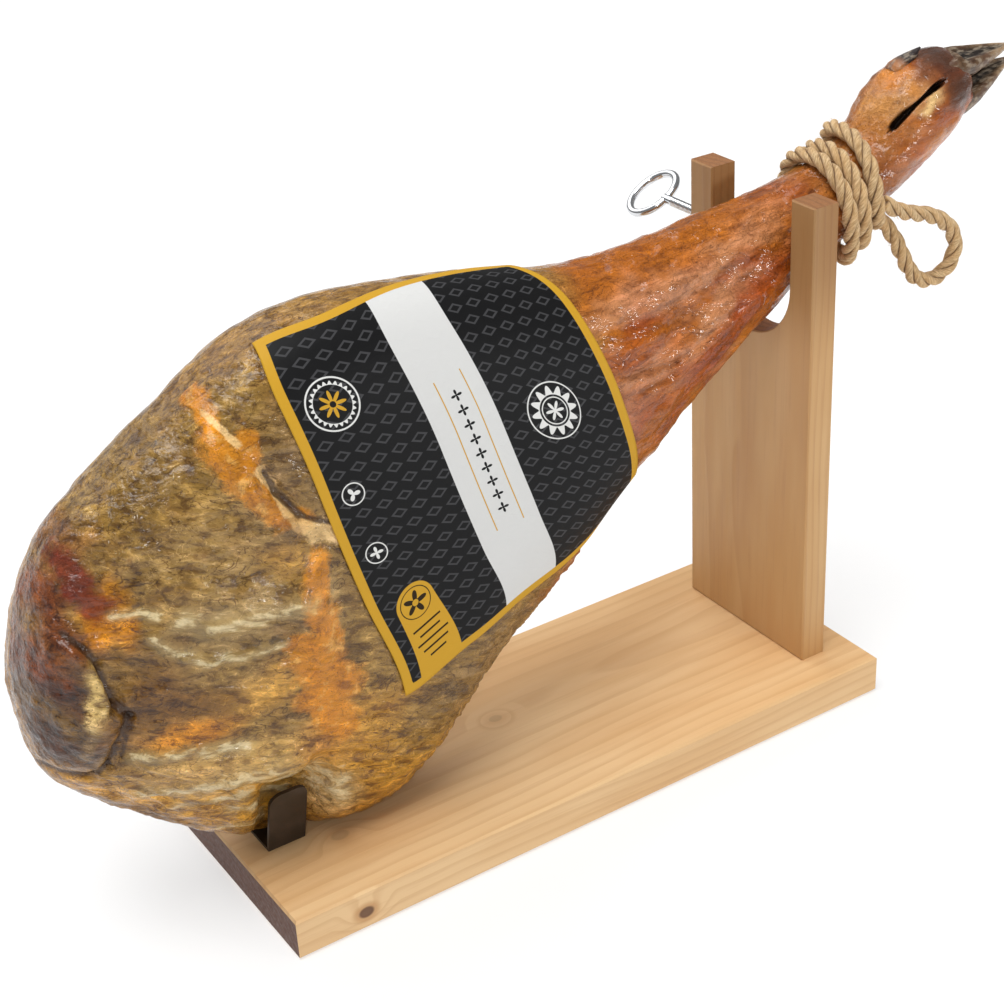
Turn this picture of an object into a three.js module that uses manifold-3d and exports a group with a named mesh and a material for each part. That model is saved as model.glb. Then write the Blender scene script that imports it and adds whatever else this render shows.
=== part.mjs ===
// A cured shoulder of ham with its trotter, held by the shank in a small pine stand.
// Millimetres, +Z up. The origin is the centre of the base board's underside. The board runs along X with
// its upright at +X, and the broad outer face of the ham looks along -Y.

import * as THREE from "three";
import { mergeVertices } from "three/addons/utils/BufferGeometryUtils.js";
import Module from "manifold-3d";

const wasm = await Module();
wasm.setup();

// Wooden stand
const BOARD = { length: 410, width: 160, thickness: 25, edge: 1.2 };
const UPRIGHT = { face: 165.5, thickness: 18, width: 110, top: 322, edge: 0.8 };
const NOTCH = { width: 70, bottom: 232 };

// Steel bracket that holds the lower rim of the ham between two splayed plates
const BRACKET = { x: -177.5, width: 23, room: 34, sheet: 2, plate: 45, corner: 7, splay: 15 };

// Screw with a wire bow, through the far horn of the upright
const SCREW = { x: 174.5, z: 285, shaft: 3, bore: 3.5, tip: 31, wire: 2.5 };
const BOW = { y: 103.5, along: 13, across: 17.2, turned: 30 };

// Sections of the ham from the butt to the toes. Each row is top x, top z, bottom x, bottom z, bulge to the
// front, bulge to the back, squareness (2 is an ellipse) and how much thinner the lower edge is.
const SECTIONS = [
  [-304, 172, -304, 164, 5, 5, 2.0, 0.0],
  [-300, 194, -303, 143, 19, 16, 2.1, 0.1],
  [-291, 222, -295, 116, 31, 25, 2.3, 0.2],
  [-272, 252, -272, 91, 41, 33, 2.4, 0.3],
  [-240, 275, -240, 64, 47, 38, 2.5, 0.3],
  [-203, 298, -207, 40, 50, 41, 2.5, 0.2],
  [-164, 321, -178, 29.5, 51, 42, 2.7, 0.1],
  [-124, 328, -146, 27, 51, 42, 3.0, 0.0],
  [-80, 326, -112, 28, 51, 42, 2.9, 0.0],
  [-38, 321, -80, 46, 51, 42, 2.6, 0.0],
  [2, 313, -46, 82, 50, 42, 2.3, 0.0],
  [40, 306, -4, 114, 47, 42, 2.2, 0.0],
  [84, 306, 42, 155, 42, 39, 2.1, 0.0],
  [130, 310, 96, 195, 36, 35, 2.0, 0.0],
  [176, 314, 149, 234, 32, 31, 2.0, 0.0],
  [210, 321, 200, 263, 27, 27, 2.0, 0.0],
  [240, 330, 248, 286, 25, 25, 2.0, 0.0],
  [270, 364, 288, 306, 28, 27, 2.0, 0.0],
  [303, 372, 318, 328, 24, 24, 2.0, 0.0],
  [322, 366, 326, 346, 12, 12, 2.0, 0.0],
];
const HAM_MESH = { along: 62, around: 48 };

// The bracket's plates squeeze the lower rim.
const PINCH = { x: -177.5, reach: 19, top: 102, fade: 32, depth: 0.5 };

// Relief on the broad faces, as strokes: start x, start z, end x, end z, half width, height.
const FRONT_RELIEF = [
  [-284, 198, -276, 152, 20, 7],
  [-272, 216, -261, 184, 11, -5],
  [-261, 184, -264, 140, 11, -6],
  [-262, 240, -250, 222, 16, -5],
  [-231, 221, -175, 196, 11, 3],
  [-250, 126, -178, 96, 13, 5],
  [-175, 268, -163, 240, 8, -3],
  [-196, 290, -170, 228, 10, 3],
  [-164, 204, -160, 166, 9, 3.5],
  [78, 292, 150, 305, 10, 3],
  [82, 268, 148, 284, 9, -3],
  [84, 249, 140, 268, 9, 3],
];
const BACK_RELIEF = [
  [-270, 190, -180, 205, 26, 5],
  [-220, 130, -110, 110, 24, -5],
  [-150, 250, -60, 250, 20, 4],
  [70, 190, 130, 250, 8, -3],
  [60, 240, 150, 280, 9, 3],
];

// Trotter: two main claws and two dewclaws as base, tip, half width across and half depth
const CLAWS = [
  { base: [300, -4, 360], tip: [364, -2, 363], wide: 16, deep: 10 },
  { base: [304, -6, 341], tip: [363, -4, 355], wide: 16, deep: 13 },
  { base: [273, 3, 363], tip: [293, 0, 375], wide: 7, deep: 4.5 },
  { base: [276, 18, 320], tip: [302, 25, 325], wide: 7, deep: 5 },
];
const CLAW_PROFILE = [[0, 0], [0.85, 0.02], [1, 0.15], [0.9, 0.36], [0.64, 0.6], [0.36, 0.82], [0.1, 1], [0, 1]];
const CLEFT = { from: [244, -28, 339], to: [298, -20, 364], halfWidth: 2, depth: 14 };

// Printed sheet round the leg: section numbers down its left and right edges, degrees along its top and bottom
// edges (0 is the top of a section, 90 the front). Each list has its points at even steps.
const SHEET = {
  left: [6.13, 6.13, 6.51, 7.08, 7.74],
  right: [10.04, 10.58, 11.3, 11.92, 12.3],
  top: [15, 17, 5, -3, -10],
  bottom: [113, 111, 117, 128, 151],
  gap: 0.9,
  thickness: 0.5,
  along: 22,
  around: 22,
};

// Rope: a winding round the shank and a loop that stands out from it. The winding's section numbers are given at
// each quarter turn, starting at an angle below the shank, and its slack hangs below.
const ROPE = { diameter: 9, sides: 8, clear: 0.9 };
const WINDING = {
  start: -180,
  sections: [15.12, 15.33, 15.1, 15.22, 15.62, 15.76, 15.48, 15.47, 15.87, 16.24, 16.05, 15.74, 16.07],
  steps: 64,
};
const SLACK = { drop: 9, at: 160, spread: 42 };
const LOOP = [
  [245, -31.4, 297.5],
  [251, -32, 293.5],
  [262, -31.5, 289],
  [275.5, -31, 284.5],
  [288, -30.5, 277.8],
  [297.3, -29.5, 269.6],
  [302, -29, 259.5],
  [300.9, -28.5, 249.4],
  [293.6, -28, 241.9],
  [283.2, -27.5, 239.7],
  [273.2, -27, 243.6],
  [267, -26, 251.5],
  [261.5, -25, 262.5],
  [255.8, -24, 273.5],
  [252.3, -23, 279.3],
];
const LOOP_STEPS = 26;

// Sides and segments of the round shapes
const ROUND = { bore: 24, shaft: 20, wire: 10, bow: 40, claw: 16, cleft: [20, 12], corner: 6, notch: 20 };

const material = (color, roughness, metalness = 0) => new THREE.MeshStandardMaterial({ color, roughness, metalness });
const PINE = material(0xc79a66, 0.6);
const BLACK_STEEL = material(0x241f1d, 0.45, 0.6);
const CHROME = material(0xc9ccd0, 0.15, 1);
const CURED = material(0x9a7434, 0.35);
const PRINT = material(0x1d1d1f, 0.5);
const JUTE = material(0xbf9c6b, 0.9);

const { degToRad: radians, lerp, smoothstep, clamp } = THREE.MathUtils;
const vector = (values) => new THREE.Vector3(...values);

function piece(name, geometry, look) {
  const mesh = new THREE.Mesh(geometry, look);
  mesh.name = name;
  return mesh;
}

// Closed meshes as solids for joining and cutting, and back
function toSolid(geometry) {
  const bare = new THREE.BufferGeometry();
  bare.setAttribute("position", geometry.getAttribute("position"));
  bare.setIndex(geometry.getIndex());
  const merged = mergeVertices(bare, 1e-4);
  const vertProperties = new Float32Array(merged.getAttribute("position").array);
  const triVerts = new Uint32Array(merged.getIndex().array);
  return new wasm.Manifold(new wasm.Mesh({ numProp: 3, vertProperties, triVerts }));
}

function toGeometry(solid) {
  const mesh = solid.getMesh();
  const geometry = new THREE.BufferGeometry();
  geometry.setAttribute("position", new THREE.BufferAttribute(new Float32Array(mesh.vertProperties), 3));
  geometry.setIndex(new THREE.BufferAttribute(new Uint32Array(mesh.triVerts), 1));
  geometry.computeVertexNormals();
  return geometry;
}

// Value at row number u of a smooth curve through the rows of a table
function rowAt(rows, u) {
  const last = rows.length - 1;
  const i = clamp(Math.floor(u), 0, last - 1);
  const f = u - i;
  const [before, here, next, after] = [i - 1, i, i + 1, i + 2].map((k) => rows[clamp(k, 0, last)]);
  return here.map((start, k) => {
    const end = next[k];
    const leave = (end - before[k]) / 2;
    const arrive = (after[k] - start) / 2;
    const square = 3 * (end - start) - 2 * leave - arrive;
    const cube = 2 * (start - end) + leave + arrive;
    return start + f * (leave + f * (square + f * cube));
  });
}

// Value at the fraction f along a list of numbers at even steps
function listAt(list, f) {
  const rows = list.map((value) => [value]);
  return rowAt(rows, f * (list.length - 1))[0];
}

// Height of the relief at x, z: every stroke fades with the distance from its line.
function reliefAt(strokes, x, z) {
  let height = 0;
  for (const [x1, z1, x2, z2, width, rise] of strokes) {
    const [dx, dz] = [x2 - x1, z2 - z1];
    const f = clamp(((x - x1) * dx + (z - z1) * dz) / (dx * dx + dz * dz), 0, 1);
    const away = Math.hypot(x - x1 - f * dx, z - z1 - f * dz) / width;
    height += rise * Math.exp(-away * away);
  }
  return height;
}

// Point of the ham's skin on section u, at an angle where 0 is the top edge and 90 the front
function skinPoint(u, degrees) {
  const [topX, topZ, bottomX, bottomZ, front, back, square, thinner] = rowAt(SECTIONS, u);
  const [c, s] = [Math.cos(radians(degrees)), Math.sin(radians(degrees))];
  const round = (Math.abs(c) ** square + Math.abs(s) ** square) ** (-1 / square);
  const [up, out] = [c * round, s * round];
  const x = lerp(bottomX, topX, (up + 1) / 2);
  const z = lerp(bottomZ, topZ, (up + 1) / 2);
  const thin = 1 - thinner * Math.min(up, 0) ** 2;
  const squeeze = Math.exp(-(((x - PINCH.x) / PINCH.reach) ** 4)) * smoothstep(PINCH.top - z, 0, PINCH.fade);
  const reach = out * thin * (1 - PINCH.depth * squeeze);
  const broad = smoothstep(Math.abs(reach), 0.2, 0.8);
  if (reach > 0) return new THREE.Vector3(x, -front * reach - broad * reliefAt(FRONT_RELIEF, x, z), z);
  return new THREE.Vector3(x, -back * reach + broad * reliefAt(BACK_RELIEF, x, z), z);
}

// The skin's outward direction
function skinNormal(u, degrees) {
  const lengthways = skinPoint(u + 0.01, degrees).sub(skinPoint(u - 0.01, degrees));
  const round = skinPoint(u, degrees + 0.5).sub(skinPoint(u, degrees - 0.5));
  return round.cross(lengthways).normalize();
}

const offSkin = (u, degrees, away) => skinPoint(u, degrees).addScaledVector(skinNormal(u, degrees), away);

function meshOf(points, triangles) {
  const geometry = new THREE.BufferGeometry().setFromPoints(points);
  geometry.setIndex(triangles);
  geometry.computeVertexNormals();
  return geometry;
}

// A closed body through rings of points, with a fan over each end
function throughRings(rings) {
  const count = rings[0].length;
  const centre = (ring) => ring.reduce((sum, point) => sum.add(point), new THREE.Vector3()).divideScalar(count);
  const points = [...rings.flat(), centre(rings[0]), centre(rings.at(-1))];
  const [startCentre, endCentre] = [points.length - 2, points.length - 1];
  const triangles = [];
  for (let j = 0; j < count; j += 1) {
    const k = (j + 1) % count;
    for (let i = 0; i < rings.length - 1; i += 1) {
      const [here, next] = [i * count, (i + 1) * count];
      triangles.push(here + j, here + k, next + j, here + k, next + k, next + j);
    }
    const end = (rings.length - 1) * count;
    triangles.push(startCentre, k, j, endCentre, end + j, end + k);
  }
  return meshOf(points, triangles);
}

// A tapered claw: a turned profile, flattened and laid from its base to its tip
function clawBody({ base, tip, wide, deep }) {
  const axis = vector(tip).sub(vector(base));
  const length = axis.length();
  const along = axis.clone().normalize();
  const across = new THREE.Vector3(0, 1, 0).cross(along).normalize();
  const side = along.clone().cross(across);
  const profile = CLAW_PROFILE.map(([radius, height]) => new THREE.Vector2(radius, height * length));
  const geometry = new THREE.LatheGeometry(profile, ROUND.claw);
  const frame = new THREE.Matrix4().makeBasis(across, along, side.negate());
  geometry.scale(deep, 1, wide);
  geometry.applyMatrix4(frame.setPosition(vector(base)));
  return geometry;
}

// The slit between the toes, as a thin lens that the skin is cut by
function cleftBody() {
  const [from, to] = [vector(CLEFT.from), vector(CLEFT.to)];
  const along = to.clone().sub(from).normalize();
  const across = new THREE.Vector3(0, 1, 0).cross(along).normalize();
  const inward = across.clone().cross(along);
  const geometry = new THREE.SphereGeometry(1, ...ROUND.cleft);
  geometry.scale(from.distanceTo(to) / 2, CLEFT.halfWidth, CLEFT.depth);
  const frame = new THREE.Matrix4().makeBasis(along, across.negate(), inward);
  geometry.applyMatrix4(frame.setPosition(from.clone().lerp(to, 0.5)));
  return geometry;
}

function hamGeometry() {
  const rings = [];
  for (let i = 0; i <= HAM_MESH.along; i += 1) {
    const u = ((SECTIONS.length - 1) * i) / HAM_MESH.along;
    const angles = Array.from({ length: HAM_MESH.around }, (_, j) => (360 * j) / HAM_MESH.around);
    rings.push(angles.map((degrees) => skinPoint(u, degrees)));
  }
  let solid = toSolid(throughRings(rings));
  for (const claw of CLAWS) solid = solid.add(toSolid(clawBody(claw)));
  return toGeometry(solid.subtract(toSolid(cleftBody())));
}

// A sheet of even thickness over the skin, as two grids joined along their four edges
function sheetGeometry() {
  const { along, around, gap, thickness } = SHEET;
  const points = [];
  for (const away of [gap, gap + thickness]) {
    for (let i = 0; i <= along; i += 1) {
      for (let j = 0; j <= around; j += 1) {
        const [s, t] = [i / along, j / around];
        const u = lerp(listAt(SHEET.left, t), listAt(SHEET.right, t), s);
        const degrees = lerp(listAt(SHEET.top, s), listAt(SHEET.bottom, s), t);
        points.push(offSkin(u, degrees, away));
      }
    }
  }
  const layer = (along + 1) * (around + 1);
  const at = (level, i, j) => level * layer + i * (around + 1) + j;
  const triangles = [];
  const quad = (a, b, c, d) => triangles.push(a, b, c, a, c, d);
  for (let i = 0; i < along; i += 1) {
    for (let j = 0; j < around; j += 1) {
      quad(at(1, i, j), at(1, i, j + 1), at(1, i + 1, j + 1), at(1, i + 1, j));
      quad(at(0, i, j), at(0, i + 1, j), at(0, i + 1, j + 1), at(0, i, j + 1));
    }
  }
  for (let i = 0; i < along; i += 1) {
    quad(at(1, i, 0), at(1, i + 1, 0), at(0, i + 1, 0), at(0, i, 0));
    quad(at(1, i + 1, around), at(1, i, around), at(0, i, around), at(0, i + 1, around));
  }
  for (let j = 0; j < around; j += 1) {
    quad(at(1, 0, j + 1), at(1, 0, j), at(0, 0, j), at(0, 0, j + 1));
    quad(at(1, along, j), at(1, along, j + 1), at(0, along, j + 1), at(0, along, j));
  }
  return meshOf(points, triangles);
}

// Rope as a tube along its route. A full circle gets two sides for each of its curve segments.
function ropeGeometry(points, steps) {
  const circle = new THREE.Shape().absarc(0, 0, ROPE.diameter / 2, 0, 2 * Math.PI);
  const route = new THREE.CatmullRomCurve3(points);
  return new THREE.ExtrudeGeometry(circle, { steps, curveSegments: ROPE.sides / 2, extrudePath: route });
}

function windingRoute() {
  return Array.from({ length: WINDING.steps + 1 }, (_, i) => {
    const f = i / WINDING.steps;
    const degrees = WINDING.start + 90 * (WINDING.sections.length - 1) * f;
    const point = offSkin(listAt(WINDING.sections, f), degrees, ROPE.diameter / 2 + ROPE.clear);
    const beside = (((degrees + 360) % 360) - SLACK.at) / SLACK.spread;
    point.z -= SLACK.drop * Math.exp(-beside * beside) * (1 - f ** 3);
    return point;
  });
}

// A plate of wood with eased edges, cut to a shape and as thick as given
function plank(shape, thickness, edge) {
  const bevel = { bevelThickness: edge, bevelSize: edge, bevelOffset: -edge, bevelSegments: 1 };
  const depth = thickness - 2 * edge;
  const geometry = new THREE.ExtrudeGeometry(shape, { depth, curveSegments: ROUND.notch, ...bevel });
  return geometry.translate(0, 0, edge);
}

function boardGeometry() {
  const { length, width, thickness, edge } = BOARD;
  const [x, y] = [length / 2, width / 2];
  const outline = new THREE.Shape().moveTo(-x, -y).lineTo(x, -y).lineTo(x, y).lineTo(-x, y);
  outline.closePath();
  return plank(outline, thickness, edge);
}

// The upright is drawn in Y and Z, with its round-bottomed notch, and is as thick as it is along X.
function uprightGeometry() {
  const { face, thickness, width, top, edge } = UPRIGHT;
  const [half, foot, notch] = [width / 2, BOARD.thickness, NOTCH.width / 2];
  const outline = new THREE.Shape().moveTo(-half, foot).lineTo(half, foot).lineTo(half, top).lineTo(notch, top);
  outline.absarc(0, NOTCH.bottom + notch, notch, 0, Math.PI, true).lineTo(-notch, top).lineTo(-half, top);
  outline.closePath();
  const toWorld = new THREE.Matrix4().makeBasis(vector([0, 1, 0]), vector([0, 0, 1]), vector([1, 0, 0]));
  const wood = plank(outline, thickness, edge).applyMatrix4(toWorld).translate(face, 0, 0);
  const bore = new THREE.CylinderGeometry(SCREW.bore, SCREW.bore, width, ROUND.bore);
  return toGeometry(toSolid(wood).subtract(toSolid(bore.translate(SCREW.x, half, SCREW.z))));
}

function bracketGeometry() {
  const { x, width, room, sheet, plate, corner, splay } = BRACKET;
  const [half, shoulder] = [width / 2, plate - corner];
  const outline = new THREE.Shape().moveTo(-half, 0).lineTo(half, 0).lineTo(half, shoulder);
  outline.absarc(half - corner, shoulder, corner, 0, Math.PI / 2).lineTo(corner - half, plate);
  outline.absarc(corner - half, shoulder, corner, Math.PI / 2, Math.PI).lineTo(-half, 0);
  const settings = { depth: sheet, curveSegments: ROUND.corner, bevelEnabled: false };
  const standing = new THREE.ExtrudeGeometry(outline, settings);
  standing.translate(0, 0, -sheet / 2).rotateX(Math.PI / 2);
  let solid = toSolid(new THREE.BoxGeometry(width, room + sheet, sheet).translate(0, 0, sheet / 2));
  for (const side of [-1, 1]) {
    const splayed = standing.clone().translate(0, (side * sheet) / 2, 0).rotateX(radians(-side * splay));
    splayed.translate(0, (side * room) / 2, sheet * Math.sin(radians(splay)));
    solid = solid.add(toSolid(splayed));
  }
  return toGeometry(solid).translate(x, 0, BOARD.thickness);
}

// The screw's shaft runs along Y. Its bow is an oval of wire, turned about the shaft.
function screwGeometry() {
  const neck = BOW.y - BOW.along;
  const shaft = new THREE.CylinderGeometry(SCREW.shaft, SCREW.shaft, neck - SCREW.tip, ROUND.shaft);
  shaft.translate(0, (neck + SCREW.tip) / 2, 0);
  const bow = new THREE.TorusGeometry(1, SCREW.wire / BOW.across, ROUND.wire, ROUND.bow);
  bow.scale(BOW.across, BOW.along, BOW.across).translate(0, BOW.y, 0).rotateY(radians(-BOW.turned));
  return toGeometry(toSolid(shaft).add(toSolid(bow))).translate(SCREW.x, 0, SCREW.z);
}

const model = new THREE.Group();
model.add(piece("base_board", boardGeometry(), PINE));
model.add(piece("upright", uprightGeometry(), PINE));
model.add(piece("rim_bracket", bracketGeometry(), BLACK_STEEL));
model.add(piece("clamp_screw", screwGeometry(), CHROME));
model.add(piece("ham", hamGeometry(), CURED));
model.add(piece("printed_sheet", sheetGeometry(), PRINT));
model.add(piece("rope_winding", ropeGeometry(windingRoute(), WINDING.steps), JUTE));
model.add(piece("rope_loop", ropeGeometry(LOOP.map(vector), LOOP_STEPS), JUTE));

export default model;
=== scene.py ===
import math

import bpy
import numpy as np
from mathutils import Matrix, Vector


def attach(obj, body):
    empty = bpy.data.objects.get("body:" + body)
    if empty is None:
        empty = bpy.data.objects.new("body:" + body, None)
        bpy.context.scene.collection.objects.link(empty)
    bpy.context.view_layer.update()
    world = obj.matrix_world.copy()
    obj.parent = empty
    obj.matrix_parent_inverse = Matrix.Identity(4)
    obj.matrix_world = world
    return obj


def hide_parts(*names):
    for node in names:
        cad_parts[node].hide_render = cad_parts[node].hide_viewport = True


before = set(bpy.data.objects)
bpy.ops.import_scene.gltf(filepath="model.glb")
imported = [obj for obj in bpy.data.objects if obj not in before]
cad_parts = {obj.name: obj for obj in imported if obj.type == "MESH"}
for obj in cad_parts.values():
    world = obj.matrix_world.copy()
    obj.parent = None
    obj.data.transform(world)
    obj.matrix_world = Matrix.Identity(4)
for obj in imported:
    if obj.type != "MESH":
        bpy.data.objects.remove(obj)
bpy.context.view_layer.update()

# Lengths are in millimetres in the tables below and turned into metres where a mesh is made.
MM = 0.001

# Camera, in metres: the place and direction that the stand's straight edges give
CAMERA = {
    "at": (-0.5192, -0.8154, 0.7115),
    "towards": (0.4608, 0.7420, -0.4868),
    "roll": -3.29,
    "lens": 69.98,
    "sensor": 36,
}

# Light: an even sky, two wide suns as strength, width in degrees and place, two small lamps that glint on
# the wet skin as place, size and power, and a floor that glows a little so that no shadow darkens it
STAGE = {
    "aim": (0, 0, 0.18),
    "sky": 0.24,
    "suns": {"front_sun": (2.2, 36, (-0.3, -0.2, 1.6)), "back_sun": (1.25, 60, (-0.25, 1.15, 1.55))},
    "glints": {"left_glint": ((-0.9, -1.5, 1.35), 0.12, 4.0), "right_glint": ((0.7, -1.5, 0.45), 0.22, 4.5)},
    "floor": 6.0,
    "floor_tone": (0.45, 0.45, 0.45),
    "floor_glow": 0.52,
}

# Sections of the ham from the butt to the toes. Each row is top x, top z, bottom x, bottom z, bulge to the
# front, bulge to the back, squareness (2 is an ellipse) and how much thinner the lower edge is.
SECTIONS = np.array([
    (-304, 172, -304, 164, 5, 5, 2.0, 0.0),
    (-300, 194, -303, 143, 19, 16, 2.1, 0.1),
    (-291, 222, -295, 116, 31, 25, 2.3, 0.2),
    (-272, 252, -272, 91, 41, 33, 2.4, 0.3),
    (-240, 275, -240, 64, 47, 38, 2.5, 0.3),
    (-203, 298, -207, 40, 50, 41, 2.5, 0.2),
    (-164, 321, -178, 29.5, 51, 42, 2.7, 0.1),
    (-124, 328, -146, 27, 51, 42, 3.0, 0.0),
    (-80, 326, -112, 28, 51, 42, 2.9, 0.0),
    (-38, 321, -80, 46, 51, 42, 2.6, 0.0),
    (2, 313, -46, 82, 50, 42, 2.3, 0.0),
    (40, 306, -4, 114, 47, 42, 2.2, 0.0),
    (84, 306, 42, 155, 42, 39, 2.1, 0.0),
    (130, 310, 96, 195, 36, 35, 2.0, 0.0),
    (176, 314, 149, 234, 32, 31, 2.0, 0.0),
    (210, 321, 200, 263, 27, 27, 2.0, 0.0),
    (240, 330, 248, 286, 25, 25, 2.0, 0.0),
    (270, 364, 288, 306, 28, 27, 2.0, 0.0),
    (303, 372, 318, 328, 24, 24, 2.0, 0.0),
    (322, 366, 326, 346, 12, 12, 2.0, 0.0),
], float)
SKIN_MESH = {"along": 390, "around": 250, "front_share": 0.7}
PINCH = {"x": -177.5, "reach": 19, "top": 102, "fade": 32, "depth": 0.5}
BONE_END = {"x": -293, "z": 166, "half_long": 18, "half_high": 38}

# Turned axes that lay the rind's wrinkles and the leg's creases along their slants
RIM_SLANT = np.array([[0.8, 0, 0.6], [0, 1, 0], [-0.6, 0, 0.8]])
LEG_SLANT = np.array([[0.86, 0, -0.5], [0, 1, 0], [0.5, 0, 0.86]])

# Relief as strokes: start x, start z, end x, end z, half width, height
FRONT_RELIEF = [
    (-284, 198, -276, 152, 20, 7),
    (-272, 216, -261, 184, 11, -5),
    (-261, 184, -264, 140, 11, -6),
    (-262, 240, -250, 222, 16, -5),
    (-231, 221, -175, 196, 11, 3),
    (-250, 126, -178, 96, 13, 5),
    (-175, 268, -163, 240, 8, -3),
    (-196, 290, -170, 228, 10, 3),
    (-164, 204, -160, 166, 9, 3.5),
    (78, 292, 150, 305, 10, 3),
    (82, 268, 148, 284, 9, -3),
    (84, 249, 140, 268, 9, 3),
]
BACK_RELIEF = [
    (-270, 190, -180, 205, 26, 5),
    (-220, 130, -110, 110, 24, -5),
    (-150, 250, -60, 250, 20, 4),
    (70, 190, 130, 250, 8, -3),
    (60, 240, 150, 280, 9, 3),
]


def strokes(*lines):
    """Strokes as start x, start z, end x, end z, half width and maybe height, from lines of points. Every
    point but a line's first also gives the half width and height of the stroke that ends there."""
    return [(*start[:2], *end) for line in lines for start, end in zip(line, line[1:])]


# Finer relief, which only the dressed skin has
FINE_FRONT = strokes(
    [(-280, 204), (-272, 173, 4, 2.5)],
    [(-258, 196), (-262, 165, 5, 2)],
    [(-230, 206), (-214, 198, 5, 1.6), (-167, 195, 6, 2.4)],
    [(-243, 201), (-232, 186, 2.5, 1.3), (-217, 179, 2.5, 1.8), (-195, 177, 2.5, 1.8),
     (-172, 175, 2.5, 1.3)],
    [(-258, 216), (-242, 212, 2, 1)],
    [(-262, 134), (-232, 131, 3, 2)],
    [(-256, 107), (-214, 101, 4, 2.2), (-176, 90, 5, 1.8)],
    [(-244, 91), (-208, 84, 3, 1.8)],
    [(-280, 112), (-252, 87, 4, -1.6)],
    [(-252, 100), (-205, 68, 3, -1.8)],
    [(-191, 305), (-196, 286, 5, 1.2)],
    [(-192, 280), (-186, 270, 8, 2.2)],
    [(-183, 262), (-166, 240, 6, 2)],
    [(-163, 238), (-146, 229, 4, 1.5)],
    [(-156, 212), (-157, 170, 8, 2)],
    [(-164, 160), (-150, 140, 10, 2)],
    [(29, 288), (89, 290, 4, 1.5), (165, 302, 4, 1.5)],
    [(36, 253), (82, 250, 2.5, -2), (130, 268, 2.5, -2)],
    [(40, 239), (78, 243, 2.5, -1.6)],
    [(50, 276), (110, 284, 2.5, -1.6)],
    [(46, 266), (96, 268, 3, 1.3)],
    [(40, 226), (74, 222, 3, 1.3)],
    [(262, 354), (296, 368, 3.5, 1.2)],
    [(252, 320), (300, 334, 5, 1.0)],
)

# Creases: strokes that are deep, and dark with painted shade
CREASES = strokes(
    [(-284, 213), (-277, 206, 2.2, -2), (-270, 192, 2.8, -3.6), (-267, 171, 3, -4.4), (-261, 160, 3, -4)],
    [(-261, 159), (-269, 146, 2.4, -2.6), (-274, 132, 2.6, -2.6), (-284, 125, 2.8, -2.6),
     (-299, 130, 2.8, -2.2)],
    [(-261, 160), (-267, 135, 1.6, -1.2)],
    [(-174, 268), (-170, 257, 2, -1.6), (-160, 241, 2.8, -2.8), (-145, 233, 1.8, -1.2)],
)

# The slit between the toes: its line, half width and depth
CLEFT = {"from": (254, -18, 337.4), "to": (294.5, -21, 360.6), "wide": 2.0, "deep": 8, "bow": 3.3}

# Trotter: claws as base, tip, half width across and half depth, and their turned profile
CLAWS = {
    "upper_claw": ((300, -4, 360), (364, -2, 363), 16, 10),
    "lower_claw": ((304, -6, 341), (363, -4, 355), 16, 13),
    "front_dewclaw": ((273, 3, 363), (293, 0, 375), 7, 4.5),
    "back_dewclaw": ((276, 18, 320), (302, 25, 325), 7, 5),
}
CLAW_PROFILE = [(0, 0), (0.85, 0.02), (1, 0.15), (0.9, 0.36), (0.64, 0.6), (0.36, 0.82), (0.1, 1), (0, 1)]
CLAW_MESH = {"along": 60, "around": 72}
HOLLOW_TURN = {"upper_claw": 3.45, "lower_claw": 3.85}

# Printed sheet round the leg: section numbers down its left and right edges, degrees along its top and
# bottom ones
SHEET = {
    "left": [6.13, 6.13, 6.51, 7.08, 7.74],
    "right": [10.04, 10.58, 11.3, 11.92, 12.3],
    "top": [15, 17, 5, -3, -10],
    "bottom": [113, 111, 117, 128, 151],
    "gap": 0.9,
    "thickness": 0.5,
    "steps": 150,
}

# The white band of the print: distances of its sides from the sheet's left edge, from the top to the bottom
BAND = {"left": [64.8, 66.3, 71.2, 72.9, 72.4], "right": [104.5, 104.2, 109.6, 111.2, 110]}

# Motifs of the print, as distances from the sheet's left edge and down from its top. The panel stands on the
# sheet's lower edge and is measured up from there; its lines are height and width. The rules run beside the
# white band's middle.
MOTIFS = {
    "lozenge": {"cell_x": 12.4, "cell_y": 8.6, "half_x": 4.2, "half_y": 2.5, "line": 0.30},
    "seal": (25, 46),
    "marks": [(17, 95, 3), (17, 133, 4)],
    "rosette": (143, 100),
    "panel": {"x": 25.5, "height": 50, "half_wide": 12.2, "half_foot": 14.5},
    "panel_lines": [(34, 19), (29, 14), (24, 21), (19, 17), (14, 11)],
    "rules": (-7.5, 9.5),
    "chain": {"start": 72, "step": 9, "count": 9},
    "border": 5.4,
}

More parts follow.
